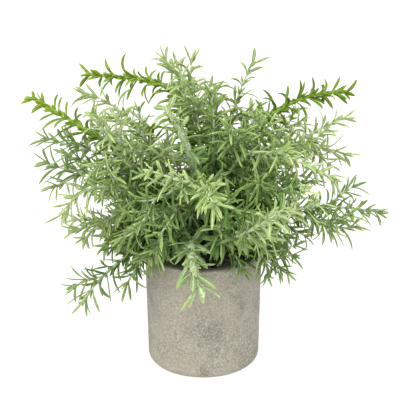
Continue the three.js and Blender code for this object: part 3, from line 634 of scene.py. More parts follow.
def skirt_routes(random, route, root, settings):
    """Low twigs that arch from a main stem out over the pot's rim and hang down a little beyond it."""
    looks, rim = settings.leaves, settings.pot.rim_radius
    count = int(round(looks.skirt * route["twigs"]))
    share = random.uniform(*SKIRT_PLACES, count)
    points, _, _, _ = place_on(route, share * route["length"])
    turn = np.arctan2(root[1], root[0]) + random.uniform(-SKIRT_TURN_PLAY, SKIRT_TURN_PLAY, count)
    out = np.stack([np.cos(turn), np.sin(turn), 0.0 * turn], -1)
    front = np.array([np.sin(SKIRT_GAP_TURN), -np.cos(SKIRT_GAP_TURN), 0.0])
    in_front = out @ front > np.cos(looks.skirt_gap)
    reach = (rim + random.uniform(*SKIRT_BEYOND, count) - np.einsum("ij,ij->i", points, out))[:, None]
    shoulder = points + out * reach * SKIRT_SHOULDER + UP * random.uniform(*SKIRT_ARCH, (count, 1))
    tip = points + out * reach + UP * random.uniform(*SKIRT_END, (count, 1))
    ways = [shoot(SKIRT_RISE, shoulder[k], tip[k]) for k in range(count)]
    routes = [
        twig_route(points[k], unit(out[k] + UP), ways[k], route, share[k], SKIRT_YOUTH)
        for k in np.flatnonzero(~in_front)
    ]
    return [twig for twig in routes if has_room(twig, settings)]


# ---- Leaves ----

LEAF_STATIONS = np.array([0.0, 0.1, 0.24, 0.4, 0.56, 0.72, 0.86, 0.95, 1.0])
# The ring round a leaf: its places across as shares of half its width, and its heights as shares of its
# thickness. It goes along the grooved top from one edge to the other and back under the midrib.
RING_ACROSS = np.array([-1.0, -0.55, 0.0, 0.55, 1.0, 0.0])
RING_HEIGHT = np.array([-0.35, 0.42, 0.18, 0.42, -0.35, -0.62])
RING_UV = np.array([0.0, 0.22, 0.5, 0.78, 1.0, 0.5])
# From this share of a shoot on its leaves close up and bend out less, by this share at its tip. They are a
# little shorter at its foot, up to a share of it.
CLOSING_FROM, CLOSING_STRAIGHTER, FOOT_SHORTER, FOOT_UP_TO = 0.84, 0.3, 0.12, 0.4
# How far single leaves stray: along the stem in pitches, round it in radians, in their widest place and their
# bluntness, and sideways at their tip as a share of their length.
PLACE_PLAY, TURN_PLAY, WIDEST_PLAY, BLUNT_PLAY, SWAY = (-0.22, 0.12), 0.38, 0.06, 0.3, 0.14
# The powers of the share along a leaf by which it bends out, and by which it sags and sways.
BEND_POWER, SAG_POWER = 1.3, 2
# The stalk's half width as a share of the widest, the rest up to it, and half the width of the very tip.
STALK_WIDTH, BLADE_WIDTH, TIP_WIDTH = 0.30, 0.70, 0.00006
# The power that shapes the tip of a leaf that isn't blunt at all, and what a blunt one adds to it.
TIP_POWER, BLUNT_POWER = 1.8, 2.6
THIN_SHARE, THICK_SHARE = 0.55, 0.45  # of a leaf's thickness: everywhere, and as its width grows
TWIST_UP_TO = 0.5  # the share of its length over which a leaf twists
# What a leaf gives way by, each of up to three times, where it would touch the pot or the soil.
SETTLE_ROUNDS, SETTLE_SHARES = 3, {"spread": 0.6, "recurve": 0.3, "length": 0.8}
FIRST_DRAWS = 100  # seed of the first sprig's draws


def draw_leaves(random, route, kind, group, bare, looks):
    """The leaves of one shoot, as arrays with one row a leaf: where each stands, and its sizes and bends.

    Whorls stand a pitch apart and turn half a step from one to the next. Towards the shoot's tip the leaves
    change their size and close up round the bud.
    """
    facts = kind[group]
    pitch = kind["pitch"] * looks.spacing / facts["closer"]
    whorls = max(2, int(round((route["length"] - bare) / pitch)))
    count = facts["count"]
    number = np.repeat(np.arange(whorls + 1), count)
    total = len(number)

    def draw(pair):
        return random.uniform(*pair, total)

    def play(most):
        return random.uniform(-most, most, total)

    run = bare + (route["length"] - bare) * number / whorls + draw(PLACE_PLAY) * pitch
    run = np.clip(run, bare * 0.5, route["length"])
    order = np.tile(np.arange(count), whorls + 1)
    offset = 0.5 if group == "short" else 0.0
    turn = 2 * np.pi * (order + offset) / count + number * np.pi / count + play(TURN_PLAY)
    along = run / route["length"]
    closing = ease(along, CLOSING_FROM, 1.0)
    longer, wider = kind["tip_size"]
    size = 1.0 - (1.0 - longer) * closing - FOOT_SHORTER * (1.0 - ease(along, 0.0, FOOT_UP_TO))
    return {
        "run": run,
        "turn": turn,
        "age": between(route["ages"], along),
        "length": draw(facts["length"]) * (size * route["size"]) * looks.length,
        "width": draw(facts["width"]) * (1.0 - (1.0 - wider) * closing) * looks.width * route["slim"],
        "spread": np.radians(draw(facts["spread"])) * (1.0 - kind["closing"] * closing),
        "recurve": np.radians(draw(facts["recurve"])) * (1.0 - CLOSING_STRAIGHTER * closing),
        "widest": facts["widest"] + play(WIDEST_PLAY),
        "blunt": np.clip(facts["blunt"] + play(BLUNT_PLAY), 0.0, 1.0),
        "powder": np.full(total, np.clip(facts["powder"] + route["powder"], 0.0, 1.0)),
        "sag": draw(facts["sag"]),
        "sway": play(SWAY),
        "twist": np.radians(draw(kind["twist"])) * random.choice((-1.0, 1.0), total),
        "thick": np.full(total, kind["thick"]),
        "tone": draw((0.0, 1.0)),
    }


def leaf_rings(route, leaves, looks):
    """Every leaf of a shoot at once, as rings of points round its middle line.

    The line leaves the stem at its spread and bends out by its recurve over its length. The half width grows
    from a narrow stalk to the widest place, and falls from there to the tip by 1 - t^p, with t from 0 to 1
    and a p that is larger the blunter the leaf is. The ring's top is crowned on both sides of the midrib's
    groove, its edges roll down, and over the first half of the leaf it turns by the twist.
    """
    root, heading, across, side = place_on(route, leaves["run"])
    outward = around(across, side, leaves["turn"])
    flat = np.cross(outward, heading)
    s = LEAF_STATIONS[None, :]
    length, width = leaves["length"][:, None], leaves["width"][:, None]
    angle = leaves["spread"][:, None] + leaves["recurve"][:, None] * s**BEND_POWER
    middle = 0.5 * (angle[:, 1:] + angle[:, :-1])
    step = np.diff(LEAF_STATIONS)[None, :] * length
    zero = np.zeros((len(root), 1))
    ahead = np.concatenate([zero, np.cumsum(step * np.cos(middle), 1)], 1)
    out = np.concatenate([zero, np.cumsum(step * np.sin(middle), 1)], 1)
    aside = leaves["sway"][:, None] * length * s**SAG_POWER
    down = leaves["sag"][:, None] * length * s**SAG_POWER
    line = (
        root[:, None] + heading[:, None] * ahead[..., None] + outward[:, None] * out[..., None]
        + flat[:, None] * aside[..., None] - UP * down[..., None]
    )
    widest = leaves["widest"][:, None]
    beyond = np.clip(s - widest, 0.0, 1.0) / (1.0 - widest)
    tip = 1.0 - beyond ** (TIP_POWER + BLUNT_POWER * leaves["blunt"][:, None])
    half = 0.5 * width * (STALK_WIDTH + BLADE_WIDTH * ease(s / widest, 0.0, 1.0)) * tip + TIP_WIDTH
    thick = looks.thickness * leaves["thick"][:, None] * (THIN_SHARE + THICK_SHARE * half / (0.5 * width))
    face = heading[:, None] * np.sin(angle)[..., None] - outward[:, None] * np.cos(angle)[..., None]
    turned_by = leaves["twist"][:, None] * ease(s, 0.0, TWIST_UP_TO)
    cosine, sine = np.cos(turned_by)[..., None], np.sin(turned_by)[..., None]
    wide = flat[:, None] * cosine + face * sine
    face = face * cosine - flat[:, None] * sine
    return (
        line[:, :, None]
        + wide[:, :, None] * (half[..., None] * RING_ACROSS)[..., None]
        + face[:, :, None] * (thick[..., None] * RING_HEIGHT)[..., None]
    )


def clear_of_pot(rings, pot, soil, margin):
    """Which of several shapes stay clear of the pot and the soil.

    Each of their points is inside the rim and above the soil, or outside the pot or above it.
    """
    radius, height = np.hypot(rings[..., 0], rings[..., 1]), rings[..., 2]
    inside = (radius < pot.rim_radius - pot.wall - margin) & (height > soil.top + margin)
    outside = (radius > pot.rim_radius + margin) | (height > pot.height + margin)
    return (inside | outside).reshape(len(rings), -1).all(axis=1)


def settle(route, leaves, pot, soil, looks):
    """Leaves that would touch the pot or the soil are laid closer to the stem and shortened, or dropped."""
    rings = leaf_rings(route, leaves, looks)
    for _ in range(SETTLE_ROUNDS):
        clear = clear_of_pot(rings, pot, soil, looks.clearance)
        for name, share in SETTLE_SHARES.items():
            leaves[name] = np.where(clear, leaves[name], leaves[name] * share)
        rings = leaf_rings(route, leaves, looks)
    clear = clear_of_pot(rings, pot, soil, looks.clearance)
    return rings[clear], {name: numbers[clear] for name, numbers in leaves.items()}


def sprig_routes(name, settings, random):
    """A sprig's shoots and twigs.

    Each comes with its kind, its bare stretch, its stem's radii and whether it has a foot.
    """
    kind_name, root, ways = SPRIGS[name]
    kind = KINDS[kind_name]
    foot_age, tip_age, bare, powder, size, twigs = HABITS.get(name, USUAL)
    habit = {"powder": powder, "size": size, "slim": size, "twigs": twigs}
    stem = shoot_route((*root, STEM_START), UP, ways[0]) | habit | {"ages": (foot_age, tip_age)}
    bare *= stem["length"]
    shoots = [(stem, kind, bare, kind["stem"], True)]
    for way in ways[1:]:
        fork, heading, _, _ = place_on(stem, np.array([way["leaves_at"] * stem["length"]]))
        side = shoot_route(fork[0], heading[0], way) | habit
        fork_age = foot_age + (tip_age - foot_age) * way["leaves_at"] * way["youth"]
        side["ages"] = (fork_age, tip_age * way["youth"])
        growth = KINDS[way["kind"] or kind_name]
        shoots.append((side, growth, BARE_SIDE, (growth["stem"][0] * SIDE_STEM, growth["stem"][1]), False))
    twigs = [
        (twig, growth) for route, growth, bare, *_ in shoots
        for twig in twig_routes(random, route, growth, bare, settings)
    ]
    twigs += [(twig, kind) for twig in skirt_routes(random, stem, root, settings)]
    return shoots + [(twig, growth, BARE_SIDE, TWIG_STEM, False) for twig, growth in twigs]


def stem_part(route, radii, kind, looks, foot):
    """A stem as points, faces, the numbers that its material reads and its map."""
    rings, share = stem_points(route, radii, kind["ripple"], kind["pitch"] * looks.spacing, foot)
    rows, columns = rings.shape[:2]
    age = np.repeat(between(route["ages"], share), columns)
    flat = np.zeros(rows * columns)
    uv = np.stack([np.tile(np.arange(columns) / columns, rows), np.repeat(share, columns)], -1)
    return rings.reshape(-1, 3), tube_faces(rows, columns), {"age": age, "tone": flat, "powder": flat}, uv


def leaf_part(rings, leaves):
    """Leaves as points, faces, the numbers that their material reads and their map."""
    count, stations, sides = rings.shape[:3]
    each = stations * sides
    offsets = np.arange(count)[:, None, None] * each
    faces = [(group[None] + offsets).reshape(-1, group.shape[1]) for group in tube_faces(stations, sides)]
    under = np.tile(np.append(np.zeros(sides - 1), 1.0), stations * count)
    powder = np.maximum(under, np.repeat(leaves["powder"], each))
    values = {label: np.repeat(leaves[label], each) for label in ("age", "tone")} | {"powder": powder}
    uv = np.stack([np.tile(RING_UV, stations), np.repeat(LEAF_STATIONS, sides)], -1)
    return rings.reshape(-1, 3), faces, values, np.tile(uv, (count, 1))


def joined(parts):
    """Several parts as one, with the faces of each counted on from the points before it."""
    starts = np.cumsum([0] + [len(points) for points, *_ in parts])
    faces = [group + start for (_, groups, *_), start in zip(parts, starts) for group in groups]
    values = {label: np.concatenate([part[2][label] for part in parts]) for label in parts[0][2]}
    points, uv = (np.concatenate([part[k] for part in parts]) for k in (0, 3))
    return points, faces, values, uv


def make_sprig(name, settings, materials):
    """One sprig as a mesh: its stems with the first material, and on them all its leaves with the second.

    `age` runs from the sprig's foot to its tips, from 0 for old to 1 for young; besides real age it paints
    shade deep in the bush and light on lit sprigs. `tone` differs from leaf to leaf, and `powder` is how much
    bloom lies on a leaf, with a full coat below the midrib. The surface's map runs across a leaf and along
    it.
    """
    looks = settings.leaves
    random = np.random.default_rng(FIRST_DRAWS + list(SPRIGS).index(name))
    shoots = sprig_routes(name, settings, random)
    stems = [stem_part(route, radii, kind, looks, foot) for route, kind, _, radii, foot in shoots]
    blades = []
    for route, kind, bare, _, _ in shoots:
        for group in ("long", "short"):
            leaves = draw_leaves(random, route, kind, group, bare, looks)
            blades.append(leaf_part(*settle(route, leaves, settings.pot, settings.soil, looks)))
    points, faces, values, uv = joined(stems + blades)
    mesh = new_mesh(name + "_growth", points, faces, values, uv, materials)
    stem_faces = sum(len(group) for _, groups, *_ in stems for group in groups)
    slots = (np.arange(len(mesh.polygons)) >= stem_faces).astype(np.int32)
    mesh.polygons.foreach_set("material_index", slots)
    mesh.update()
    return mesh


# ---- Node trees ----

# A Mix node's inputs and output when it mixes colours: the share, both colours and what comes out.
MIX_INPUTS, MIX_OUTPUT = (0, 6, 7), 2
# The noise of the shared effects: its detail and roughness, and where specks or patches start and are full.
# The specks' scale is a share of the grain's. Bloom lies where it is told to and in patches, by these shares.
GRAIN_NOISE, SPECK_SCALE, SPECKS = (4.0, 0.65), 0.7, (2.0, 0.55, 0.56, 0.70)
BLOOM_NOISE, BLOOM_BY_PLACE, BLOOM_BY_PATCH = (4.0, 0.7, 0.34, 0.66), 0.65, 0.55


def add(tree, kind, **settings):
    """A new node of this kind, with these settings."""
    node = tree.nodes.new(kind)
    for name, value in settings.items():
        setattr(node, name, value)
    return node


def group_tree(name, inputs, outputs):
    """An empty shader group with named inputs as {name: default} and outputs as {name: kind}."""
    tree = bpy.data.node_groups.new(name, "ShaderNodeTree")
    for label, default in inputs.items():
        kind = "NodeSocketColor" if isinstance(default, tuple) else "NodeSocketFloat"
        tree.interface.new_socket(label, in_out="INPUT", socket_type=kind).default_value = default
    for label, kind in outputs.items():
        tree.interface.new_socket(label, in_out="OUTPUT", socket_type=kind)
    return tree, add(tree, "NodeGroupInput"), add(tree, "NodeGroupOutput")


def feed(tree, socket, value):
    """Links an input to a socket, or sets it to a number or a colour. None leaves it as it is."""
    if isinstance(value, bpy.types.NodeSocket):
        tree.links.new(value, socket)
    elif value is not None:
        socket.default_value = value


def reckon(tree, operation, a, b=None, clamp=False):
    """A Math node whose inputs are sockets or numbers. Gives its output."""
    node = add(tree, "ShaderNodeMath", operation=operation, use_clamp=clamp)
    for socket, value in zip(node.inputs, (a, b)):
        feed(tree, socket, value)
    return node.outputs[0]


def times(tree, a, b, clamp=False):
    """a times b."""
    return reckon(tree, "MULTIPLY", a, b, clamp)


def plus(tree, a, b, clamp=False):
    """a plus b."""
    return reckon(tree, "ADD", a, b, clamp)


def less(tree, a, b):
    """a less b."""
    return reckon(tree, "SUBTRACT", a, b)


def ramp(tree, value, low, high):
    """0 up to low, 1 from high, and smooth between."""
    node = add(tree, "ShaderNodeMapRange", interpolation_type="SMOOTHSTEP")
    for socket, number in zip(node.inputs, (value, low, high, 0.0, 1.0)):
        feed(tree, socket, number)
    return node.outputs[0]


def mix(tree, share, a, b):
    """From colour a to colour b by a share of the way."""
    node = add(tree, "ShaderNodeMix", data_type="RGBA", blend_type="MIX")
    for number, value in zip(MIX_INPUTS, (share, a, b)):
        feed(tree, node.inputs[number], value)
    return node.outputs[MIX_OUTPUT]


def noise(tree, place, scale, detail, roughness):
    """Smooth noise from 0 to 1."""
    node = add(tree, "ShaderNodeTexNoise")
    for name, value in {"Vector": place, "Scale": scale, "Detail": detail, "Roughness": roughness}.items():
        feed(tree, node.inputs[name], value)
    return node.outputs["Fac"]


def patches(tree, place, scale, detail, roughness, low, high):
    """Soft patches of 1 on 0: noise, raised from low to high."""
    return ramp(tree, noise(tree, place, scale, detail, roughness), low, high)


def on_object(tree):
    """The place on the object, in metres."""
    return add(tree, "ShaderNodeTexCoord").outputs["Object"]


def numbers_of(tree, vector):
    """The three numbers of a vector."""
    node = add(tree, "ShaderNodeSeparateXYZ")
    tree.links.new(vector, node.inputs[0])
    return node.outputs


def attribute(tree, name):
    """The number that a mesh holds under this name for each point."""
    return add(tree, "ShaderNodeAttribute", attribute_name=name, attribute_type="GEOMETRY").outputs["Fac"]


def place_group(tree, group, **values):
    """A shared effect, with its inputs fed by name."""
    node = add(tree, "ShaderNodeGroup", node_tree=group)
    for name, value in values.items():
        feed(tree, node.inputs[name], value)
    return node


def bump(tree, shader, height, strength, distance):
    """Fine relief on a shader, from a height."""
    node = add(tree, "ShaderNodeBump")
    for name, value in {"Strength": strength, "Distance": distance, "Height": height}.items():
        feed(tree, node.inputs[name], value)
    tree.links.new(node.outputs["Normal"], shader.inputs["Normal"])


def grain_group():
    """Fine grain: a height and a mask of darker specks, at a scale in specks a metre."""
    tree, given, out = group_tree(
        "Fine grain",
        {"Scale": 900.0, "Amount": 0.5},
        {"Height": "NodeSocketFloat", "Specks": "NodeSocketFloat"})
    place, scale = on_object(tree), given.outputs["Scale"]
    specks = patches(tree, place, times(tree, scale, SPECK_SCALE), *SPECKS)
    tree.links.new(noise(tree, place, scale, *GRAIN_NOISE), out.inputs["Height"])
    tree.links.new(times(tree, specks, given.outputs["Amount"]), out.inputs["Specks"])
    return tree


def bloom_group():
    """Pale bloom: a powdery film over a colour, thickest in patches and where `Where` is 1."""
    tree, given, out = group_tree(
        "Pale bloom",
        {"Colour": (0.2, 0.4, 0.1, 1.0), "Bloom": (0.7, 0.78, 0.66, 1.0),
         "Amount": 0.4, "Where": 0.5, "Scale": 500.0},
        {"Colour": "NodeSocketColor", "Film": "NodeSocketFloat"})
    powder = times(tree, patches(tree, on_object(tree), given.outputs["Scale"], *BLOOM_NOISE), BLOOM_BY_PATCH)
    placed = plus(tree, times(tree, given.outputs["Where"], BLOOM_BY_PLACE), powder)
    film = times(tree, placed, given.outputs["Amount"], clamp=True)
    tree.links.new(mix(tree, film, given.outputs["Colour"], given.outputs["Bloom"]), out.inputs["Colour"])
    tree.links.new(film, out.inputs["Film"])
    return tree


def shared_groups():
    """The two shared effects, made once."""
    made = bpy.data.node_groups
    return {
        "grain": made.get("Fine grain") or grain_group(),
        "bloom": made.get("Pale bloom") or bloom_group(),
    }


# ---- Materials ----

# Bands on a leaf, each from where an effect starts to where it is full: across it from its rib (0) to its
# edge (1), along it from its foot (0) to its tip (1), and by its age, which also carries painted shade.
EDGE_BAND, RIB_BAND, BLADE_BAND = (0.50, 0.95), (0.04, 0.36), (0.15, 0.35)
TIP_BAND, YOUNG_BAND = (0.66, 1.0), (0.25, 0.95)
# A leaf's youth mixes its deep and fresh green: partly its real age, partly painted shade and light.
YOUTH_BY_AGE, YOUTH_BY_TONE = 0.66, 0.42  # what makes a leaf's green fresh: its age, and chance
BLADE_DEPTH = 0.80  # how much deeper the green is between a leaf's rib and its edge
TIP_TINGE, EDGE_TINGE = 0.7, 0.6  # how much of the tips' colour reaches a young leaf's tip and its edges
# How much bloom lies on a leaf's rib and where it is powdered, how much less on its tip, and how much on
# young leaves on top of what every leaf has.
RIB_BLOOM, POWDER_BLOOM, TIP_BARE, YOUNG_BLOOM, LEAST_BLOOM = 0.8, 0.7, 0.7, 1.05, 0.14
LEAF_GLOSS, LEAF_ROUGH, FILM_ROUGHER = 0.08, 0.42, 0.35
LEAF_POWDER, STEM_POWDER = 420.0, 900.0  # the scale of the patches that the bloom lies in
# Bands of age on a stem: from bark to green, where bloom starts to gather, and where it lies between its
# patches too, with how much of it lies there.
BARK_BAND, FILM_BAND, COAT_BAND, COAT_BLOOM = (0.12, 0.42), (0.08, 0.40), (0.2, 0.6), 0.5
# Colours of the specks on bark, and of the crumbs and the specks in the soil.
# The soil's crumbs, like its grey, are painted light: paler than the dark soil, to lift the shade in the pot.
BARK_SPECKS, SOIL_CRUMBS, SOIL_SPECKS = (0.03, 0.02, 0.012), (0.21, 0.205, 0.19), (0.03, 0.028, 0.025)
# Patterns of the pot, and the soil's crumbs: the scale, detail and roughness of their noise, and where on it
# they start and are full.
MOTTLES, CLOUDS = (38.0, 5.0, 0.62, 0.42, 0.66), (130.0, 4.0, 0.6, 0.38, 0.66)
STAINS, CRUMBS = (74.0, 4.0, 0.7, 0.46, 0.70), (240.0, 3.0, 0.55, 0.4, 0.65)
SAND, DARK_SAND, PALE_SAND = (760.0, 2.0, 0.7), (0.50, 0.34), (0.52, 0.70)
# How much mottles and stains darken the pot and clouds make it paler, how much its sand shows everywhere and
# how much more in the mottles, and how high its specks stand as a share of the grain: they are pits.
MOTTLE_DARK, STAIN_DARK, CLOUD_PALE, LEAST_SANDY, MOTTLE_SANDY, SPECK_HEIGHT = 0.6, 0.5, 0.4, 0.46, 0.35, -0.6
# The pot's darker rim top and inside are painted shade; RIM_EDGE sets where it fades out.
RIM_EDGE = 0.0012  # over how much the pot's darker rim fades out, and how far inside its outer edge
# The grain of each surface, and the strength and the depth in metres of the relief that it makes.
LEAF_GRAIN, LEAF_RELIEF, RIB_GROOVE = {"Scale": 2600.0, "Amount": 0.3}, (0.5, 0.0002), 0.8
STEM_GRAIN, STEM_RELIEF = {"Scale": 1500.0, "Amount": 0.45}, (0.6, 0.0004)
POT_GRAIN, POT_RELIEF = {"Scale": 1300.0, "Amount": 0.5}, (0.55, 0.0005)
SOIL_GRAIN, SOIL_RELIEF = {"Scale": 900.0, "Amount": 0.6}, (0.7, 0.0008)


def new_material(name, roughness=0.5):
    """A material with a plain shader of this roughness."""
    material = bpy.data.materials.new(name)
    material.use_nodes = True
    shader = material.node_tree.nodes["Principled BSDF"]
    shader.inputs["Roughness"].default_value = roughness
    return material, material.node_tree, shader


def colour(value):
    """A colour with its alpha."""
    return (*value, 1.0)


def leaf_material(name, green, deep, settings, film, tipping, groups):
    """A leaf: deep green where old and in painted shade, fresh green where young, deeper beside its pale rib.

    Its edges and its tip are yellow-green, and bloom lies on its rib and where the mesh holds powder.
    """
    looks = settings.colours
    material, tree, shader = new_material(name)
    across, along, _ = numbers_of(tree, add(tree, "ShaderNodeUVMap", uv_map="surface").outputs[0])
    age, tone, powder = (attribute(tree, label) for label in ("age", "tone", "powder"))
    from_rib = times(tree, reckon(tree, "ABSOLUTE", less(tree, across, 0.5)), 2.0)
    edge = ramp(tree, from_rib, *EDGE_BAND)
    rib = less(tree, 1.0, ramp(tree, from_rib, *RIB_BAND))
    blade = times(tree, ramp(tree, from_rib, *BLADE_BAND), less(tree, 1.0, edge))
    tip = ramp(tree, along, *TIP_BAND)
    by_age_and_shade = times(tree, ramp(tree, age, *YOUNG_BAND), YOUTH_BY_AGE)
    youth = plus(tree, by_age_and_shade, times(tree, tone, YOUTH_BY_TONE))
    # Painted shade and light: the deep green stands partly for shade inside the bush, the fresh for lit
    # leaves.
    base = mix(tree, youth, colour(deep), colour(green))
    base = mix(tree, times(tree, blade, BLADE_DEPTH), base, colour(deep))
    ends = plus(tree, times(tree, tip, TIP_TINGE), times(tree, edge, EDGE_TINGE), clamp=True)
    ends = times(tree, ends, times(tree, youth, tipping), clamp=True)
    base = mix(tree, ends, base, colour(looks.tip))
    where = plus(tree, times(tree, rib, RIB_BLOOM), times(tree, powder, POWDER_BLOOM), clamp=True)
    where = times(tree, where, less(tree, 1.0, times(tree, tip, TIP_BARE)))
    amount = times(tree, plus(tree, times(tree, youth, YOUNG_BLOOM), LEAST_BLOOM), film)
    dusted = place_group(
        tree, groups["bloom"], Colour=base, Bloom=colour(looks.bloom), Amount=amount, Where=where,
        Scale=LEAF_POWDER)
    tree.links.new(dusted.outputs["Colour"], shader.inputs["Base Color"])
    rough = plus(tree, times(tree, dusted.outputs["Film"], FILM_ROUGHER), LEAF_ROUGH)
    tree.links.new(rough, shader.inputs["Roughness"])
    grain = place_group(tree, groups["grain"], **LEAF_GRAIN)
    bump(tree, shader, less(tree, grain.outputs["Height"], times(tree, rib, RIB_GROOVE)), *LEAF_RELIEF)
    shader.inputs["Specular IOR Level"].default_value = LEAF_GLOSS
    return material


def stem_material(name, young, settings, film, groups):
    """A stem: brown bark at its foot, green towards its tip, under a pale bloom."""
    looks = settings.colours
    material, tree, shader = new_material(name, 0.7)
    age = attribute(tree, "age")
    grain = place_group(tree, groups["grain"], **STEM_GRAIN)
    bark = mix(tree, grain.outputs["Specks"], colour(looks.bark), colour(BARK_SPECKS))
    green = mix(tree, grain.outputs["Specks"], colour(young), colour(looks.dusty_deep))
    base = mix(tree, ramp(tree, age, *BARK_BAND), bark, green)
    where = times(tree, ramp(tree, age, *COAT_BAND), COAT_BLOOM)
    amount = times(tree, ramp(tree, age, *FILM_BAND), film)
    dusted = place_group(
        tree, groups["bloom"], Colour=base, Bloom=colour(looks.bloom), Amount=amount, Where=where,
        Scale=STEM_POWDER)
    tree.links.new(dusted.outputs["Colour"], shader.inputs["Base Color"])
    bump(tree, shader, grain.outputs["Height"], *STEM_RELIEF)
    return material


def pot_material(settings, groups):
    """Cement: a warm grey with soft mottles, pale and dark grains, and painted shade darkening its rim top
    and inside.
    """
    looks, pot = settings.colours, settings.pot
    material, tree, shader = new_material("Speckled cement", 0.92)
    place = on_object(tree)
    mottle, cloud, stain = (patches(tree, place, *pattern) for pattern in (MOTTLES, CLOUDS, STAINS))
    stain = plus(tree, times(tree, mottle, MOTTLE_DARK), times(tree, stain, STAIN_DARK), clamp=True)
    base = mix(tree, stain, colour(looks.cement), colour(looks.cement_dark))
    base = mix(tree, times(tree, cloud, CLOUD_PALE), base, colour(looks.cement_light))
    sand = noise(tree, place, *SAND)
    sandy = plus(tree, times(tree, mottle, MOTTLE_SANDY), LEAST_SANDY)
    grain = place_group(tree, groups["grain"], **POT_GRAIN)
    for grains, shade in (
        (ramp(tree, sand, *DARK_SAND), looks.sand_dark),
        (ramp(tree, sand, *PALE_SAND), looks.sand_light),
        (grain.outputs["Specks"], looks.sand_dark),
    ):
        base = mix(tree, times(tree, grains, sandy), base, colour(shade))
    # Painted shade: the rim's top within its outer edge, the inside wall and the floor take the darker rim
    # colour.
    x, y, z = numbers_of(tree, place)
    radius = reckon(tree, "SQRT", plus(tree, times(tree, x, x), times(tree, y, y)))
    edge = pot.rim_radius - RIM_EDGE
    within = less(tree, 1.0, ramp(tree, radius, edge - RIM_EDGE, edge))
    painted_shade_inside = times(tree, within, ramp(tree, z, pot.floor * 0.5, pot.floor))
    base = mix(tree, painted_shade_inside, base, colour(looks.rim))
    tree.links.new(base, shader.inputs["Base Color"])
    height = plus(tree, grain.outputs["Height"], times(tree, grain.outputs["Specks"], SPECK_HEIGHT))
    bump(tree, shader, height, *POT_RELIEF)
    return material


def soil_material(settings, groups):
    """Soil with darker crumbs and specks; its grey and its crumbs are painted light, paler than the dark
    soil.
    """
    material, tree, shader = new_material("Charcoal soil", 0.95)
    grain = place_group(tree, groups["grain"], **SOIL_GRAIN)
    crumbs = patches(tree, on_object(tree), *CRUMBS)
    # Painted light: the soil's grey and its crumbs are paler than the dark soil, to lift the shade in the
    # pot.
    base = mix(tree, crumbs, colour(settings.colours.soil), colour(SOIL_CRUMBS))
    base = mix(tree, grain.outputs["Specks"], base, colour(SOIL_SPECKS))
    tree.links.new(base, shader.inputs["Base Color"])
    bump(tree, shader, grain.outputs["Height"], *SOIL_RELIEF)
    return material


def floor_material(studio):
    """A sheet that gives off light itself, so that it is white and shadows on it stay faint."""
    material, _, shader = new_material("Pale floor", 0.9)
    shader.inputs["Base Color"].default_value = colour(studio.floor_shade)
    shader.inputs["Emission Color"].default_value = (1.0, 1.0, 1.0, 1.0)
    shader.inputs["Emission Strength"].default_value = studio.floor_glow
    return material


# ---- Settings ----


def factor(label, description, default, **more):
    """A setting that is a number."""
    return FloatProperty(name=label, description=description, default=default, **more)


def metres(label, description, default):
    """A setting that is a length."""
    return factor(label, description, default, unit="LENGTH", precision=4)


def count_of(label, description, default, least=0):
    """A setting that is a whole number."""
    return IntProperty(name=label, description=description, default=default, min=least)


def tint(label, description, default):
    """A setting that is a colour."""
    return FloatVectorProperty(
        name=label, description=description, default=default, size=3, min=0, max=1, subtype="COLOR")


class RosemaryPot(bpy.types.PropertyGroup):
    """Sizes of the pot."""

    height: metres("Height", "Height of the pot", POT_TOP)
    rim_radius: metres("Rim radius", "Outside radius at the rim", 0.045)
    foot_radius: metres("Foot radius", "Outside radius just above the rounded foot", 0.0438)
    wall: metres("Wall", "Thickness of the wall", 0.007)
    floor: metres("Floor", "Thickness of the floor", 0.008)
    foot_round: metres("Foot rounding", "Radius of the rounded edge under the pot", 0.005)
    rim_round: metres("Rim rounding", "Radius of the softened edges of the rim", 0.0012)
    relief: metres("Relief", "Height of the unevenness of its surface", 0.00022)
    sides: count_of("Sides", "Steps round the pot", 360, least=24)


class RosemarySoil(bpy.types.PropertyGroup):
    """Sizes of the soil."""

    top: metres("Top", "Height of the soil in the middle", 0.083)
    floor: metres("Floor", "Height of its underside", 0.008)
    radius: metres("Radius", "Radius at its top", 0.0376)
    foot_radius: metres("Foot radius", "Radius at its underside", 0.0365)
    mound: metres("Mound", "How much lower it lies at the wall", 0.0015)
    crumb: metres("Crumbs", "Height of its roughness", 0.0026)
    lump_size: metres("Lump size", "Radius of the largest loose lump", 0.0026)
    lumps: count_of("Lumps", "Number of loose lumps", 260)


class RosemaryLeaves(bpy.types.PropertyGroup):
    """Proportions of the leaves, on top of what each kind of growth has."""

    length: factor("Length", "Factor on the length of every leaf", 1.0, min=0.2)
    width: factor("Width", "Factor on the width of every leaf", 1.0, min=0.2)
    spacing: factor("Spacing", "Factor on the distance between whorls", 1.0, min=0.3)
    twigs: factor("Twigs", "Factor on the number of side twigs", 1.0, min=0)
    twig_length: metres("Twig length", "Usual length of a side twig near a shoot's foot", 0.042)
    skirt: count_of("Skirt", "Low twigs on each stem that hang over the rim", 3)
    skirt_gap: factor("Skirt gap", "Half of the gap in the skirt that shows the soil", 0.52, subtype="ANGLE")
    thickness: metres("Thickness", "Thickness of a leaf at its widest place", 0.00088)
    clearance: metres("Clearance", "Distance that leaves keep from the pot and the soil", 0.0006)


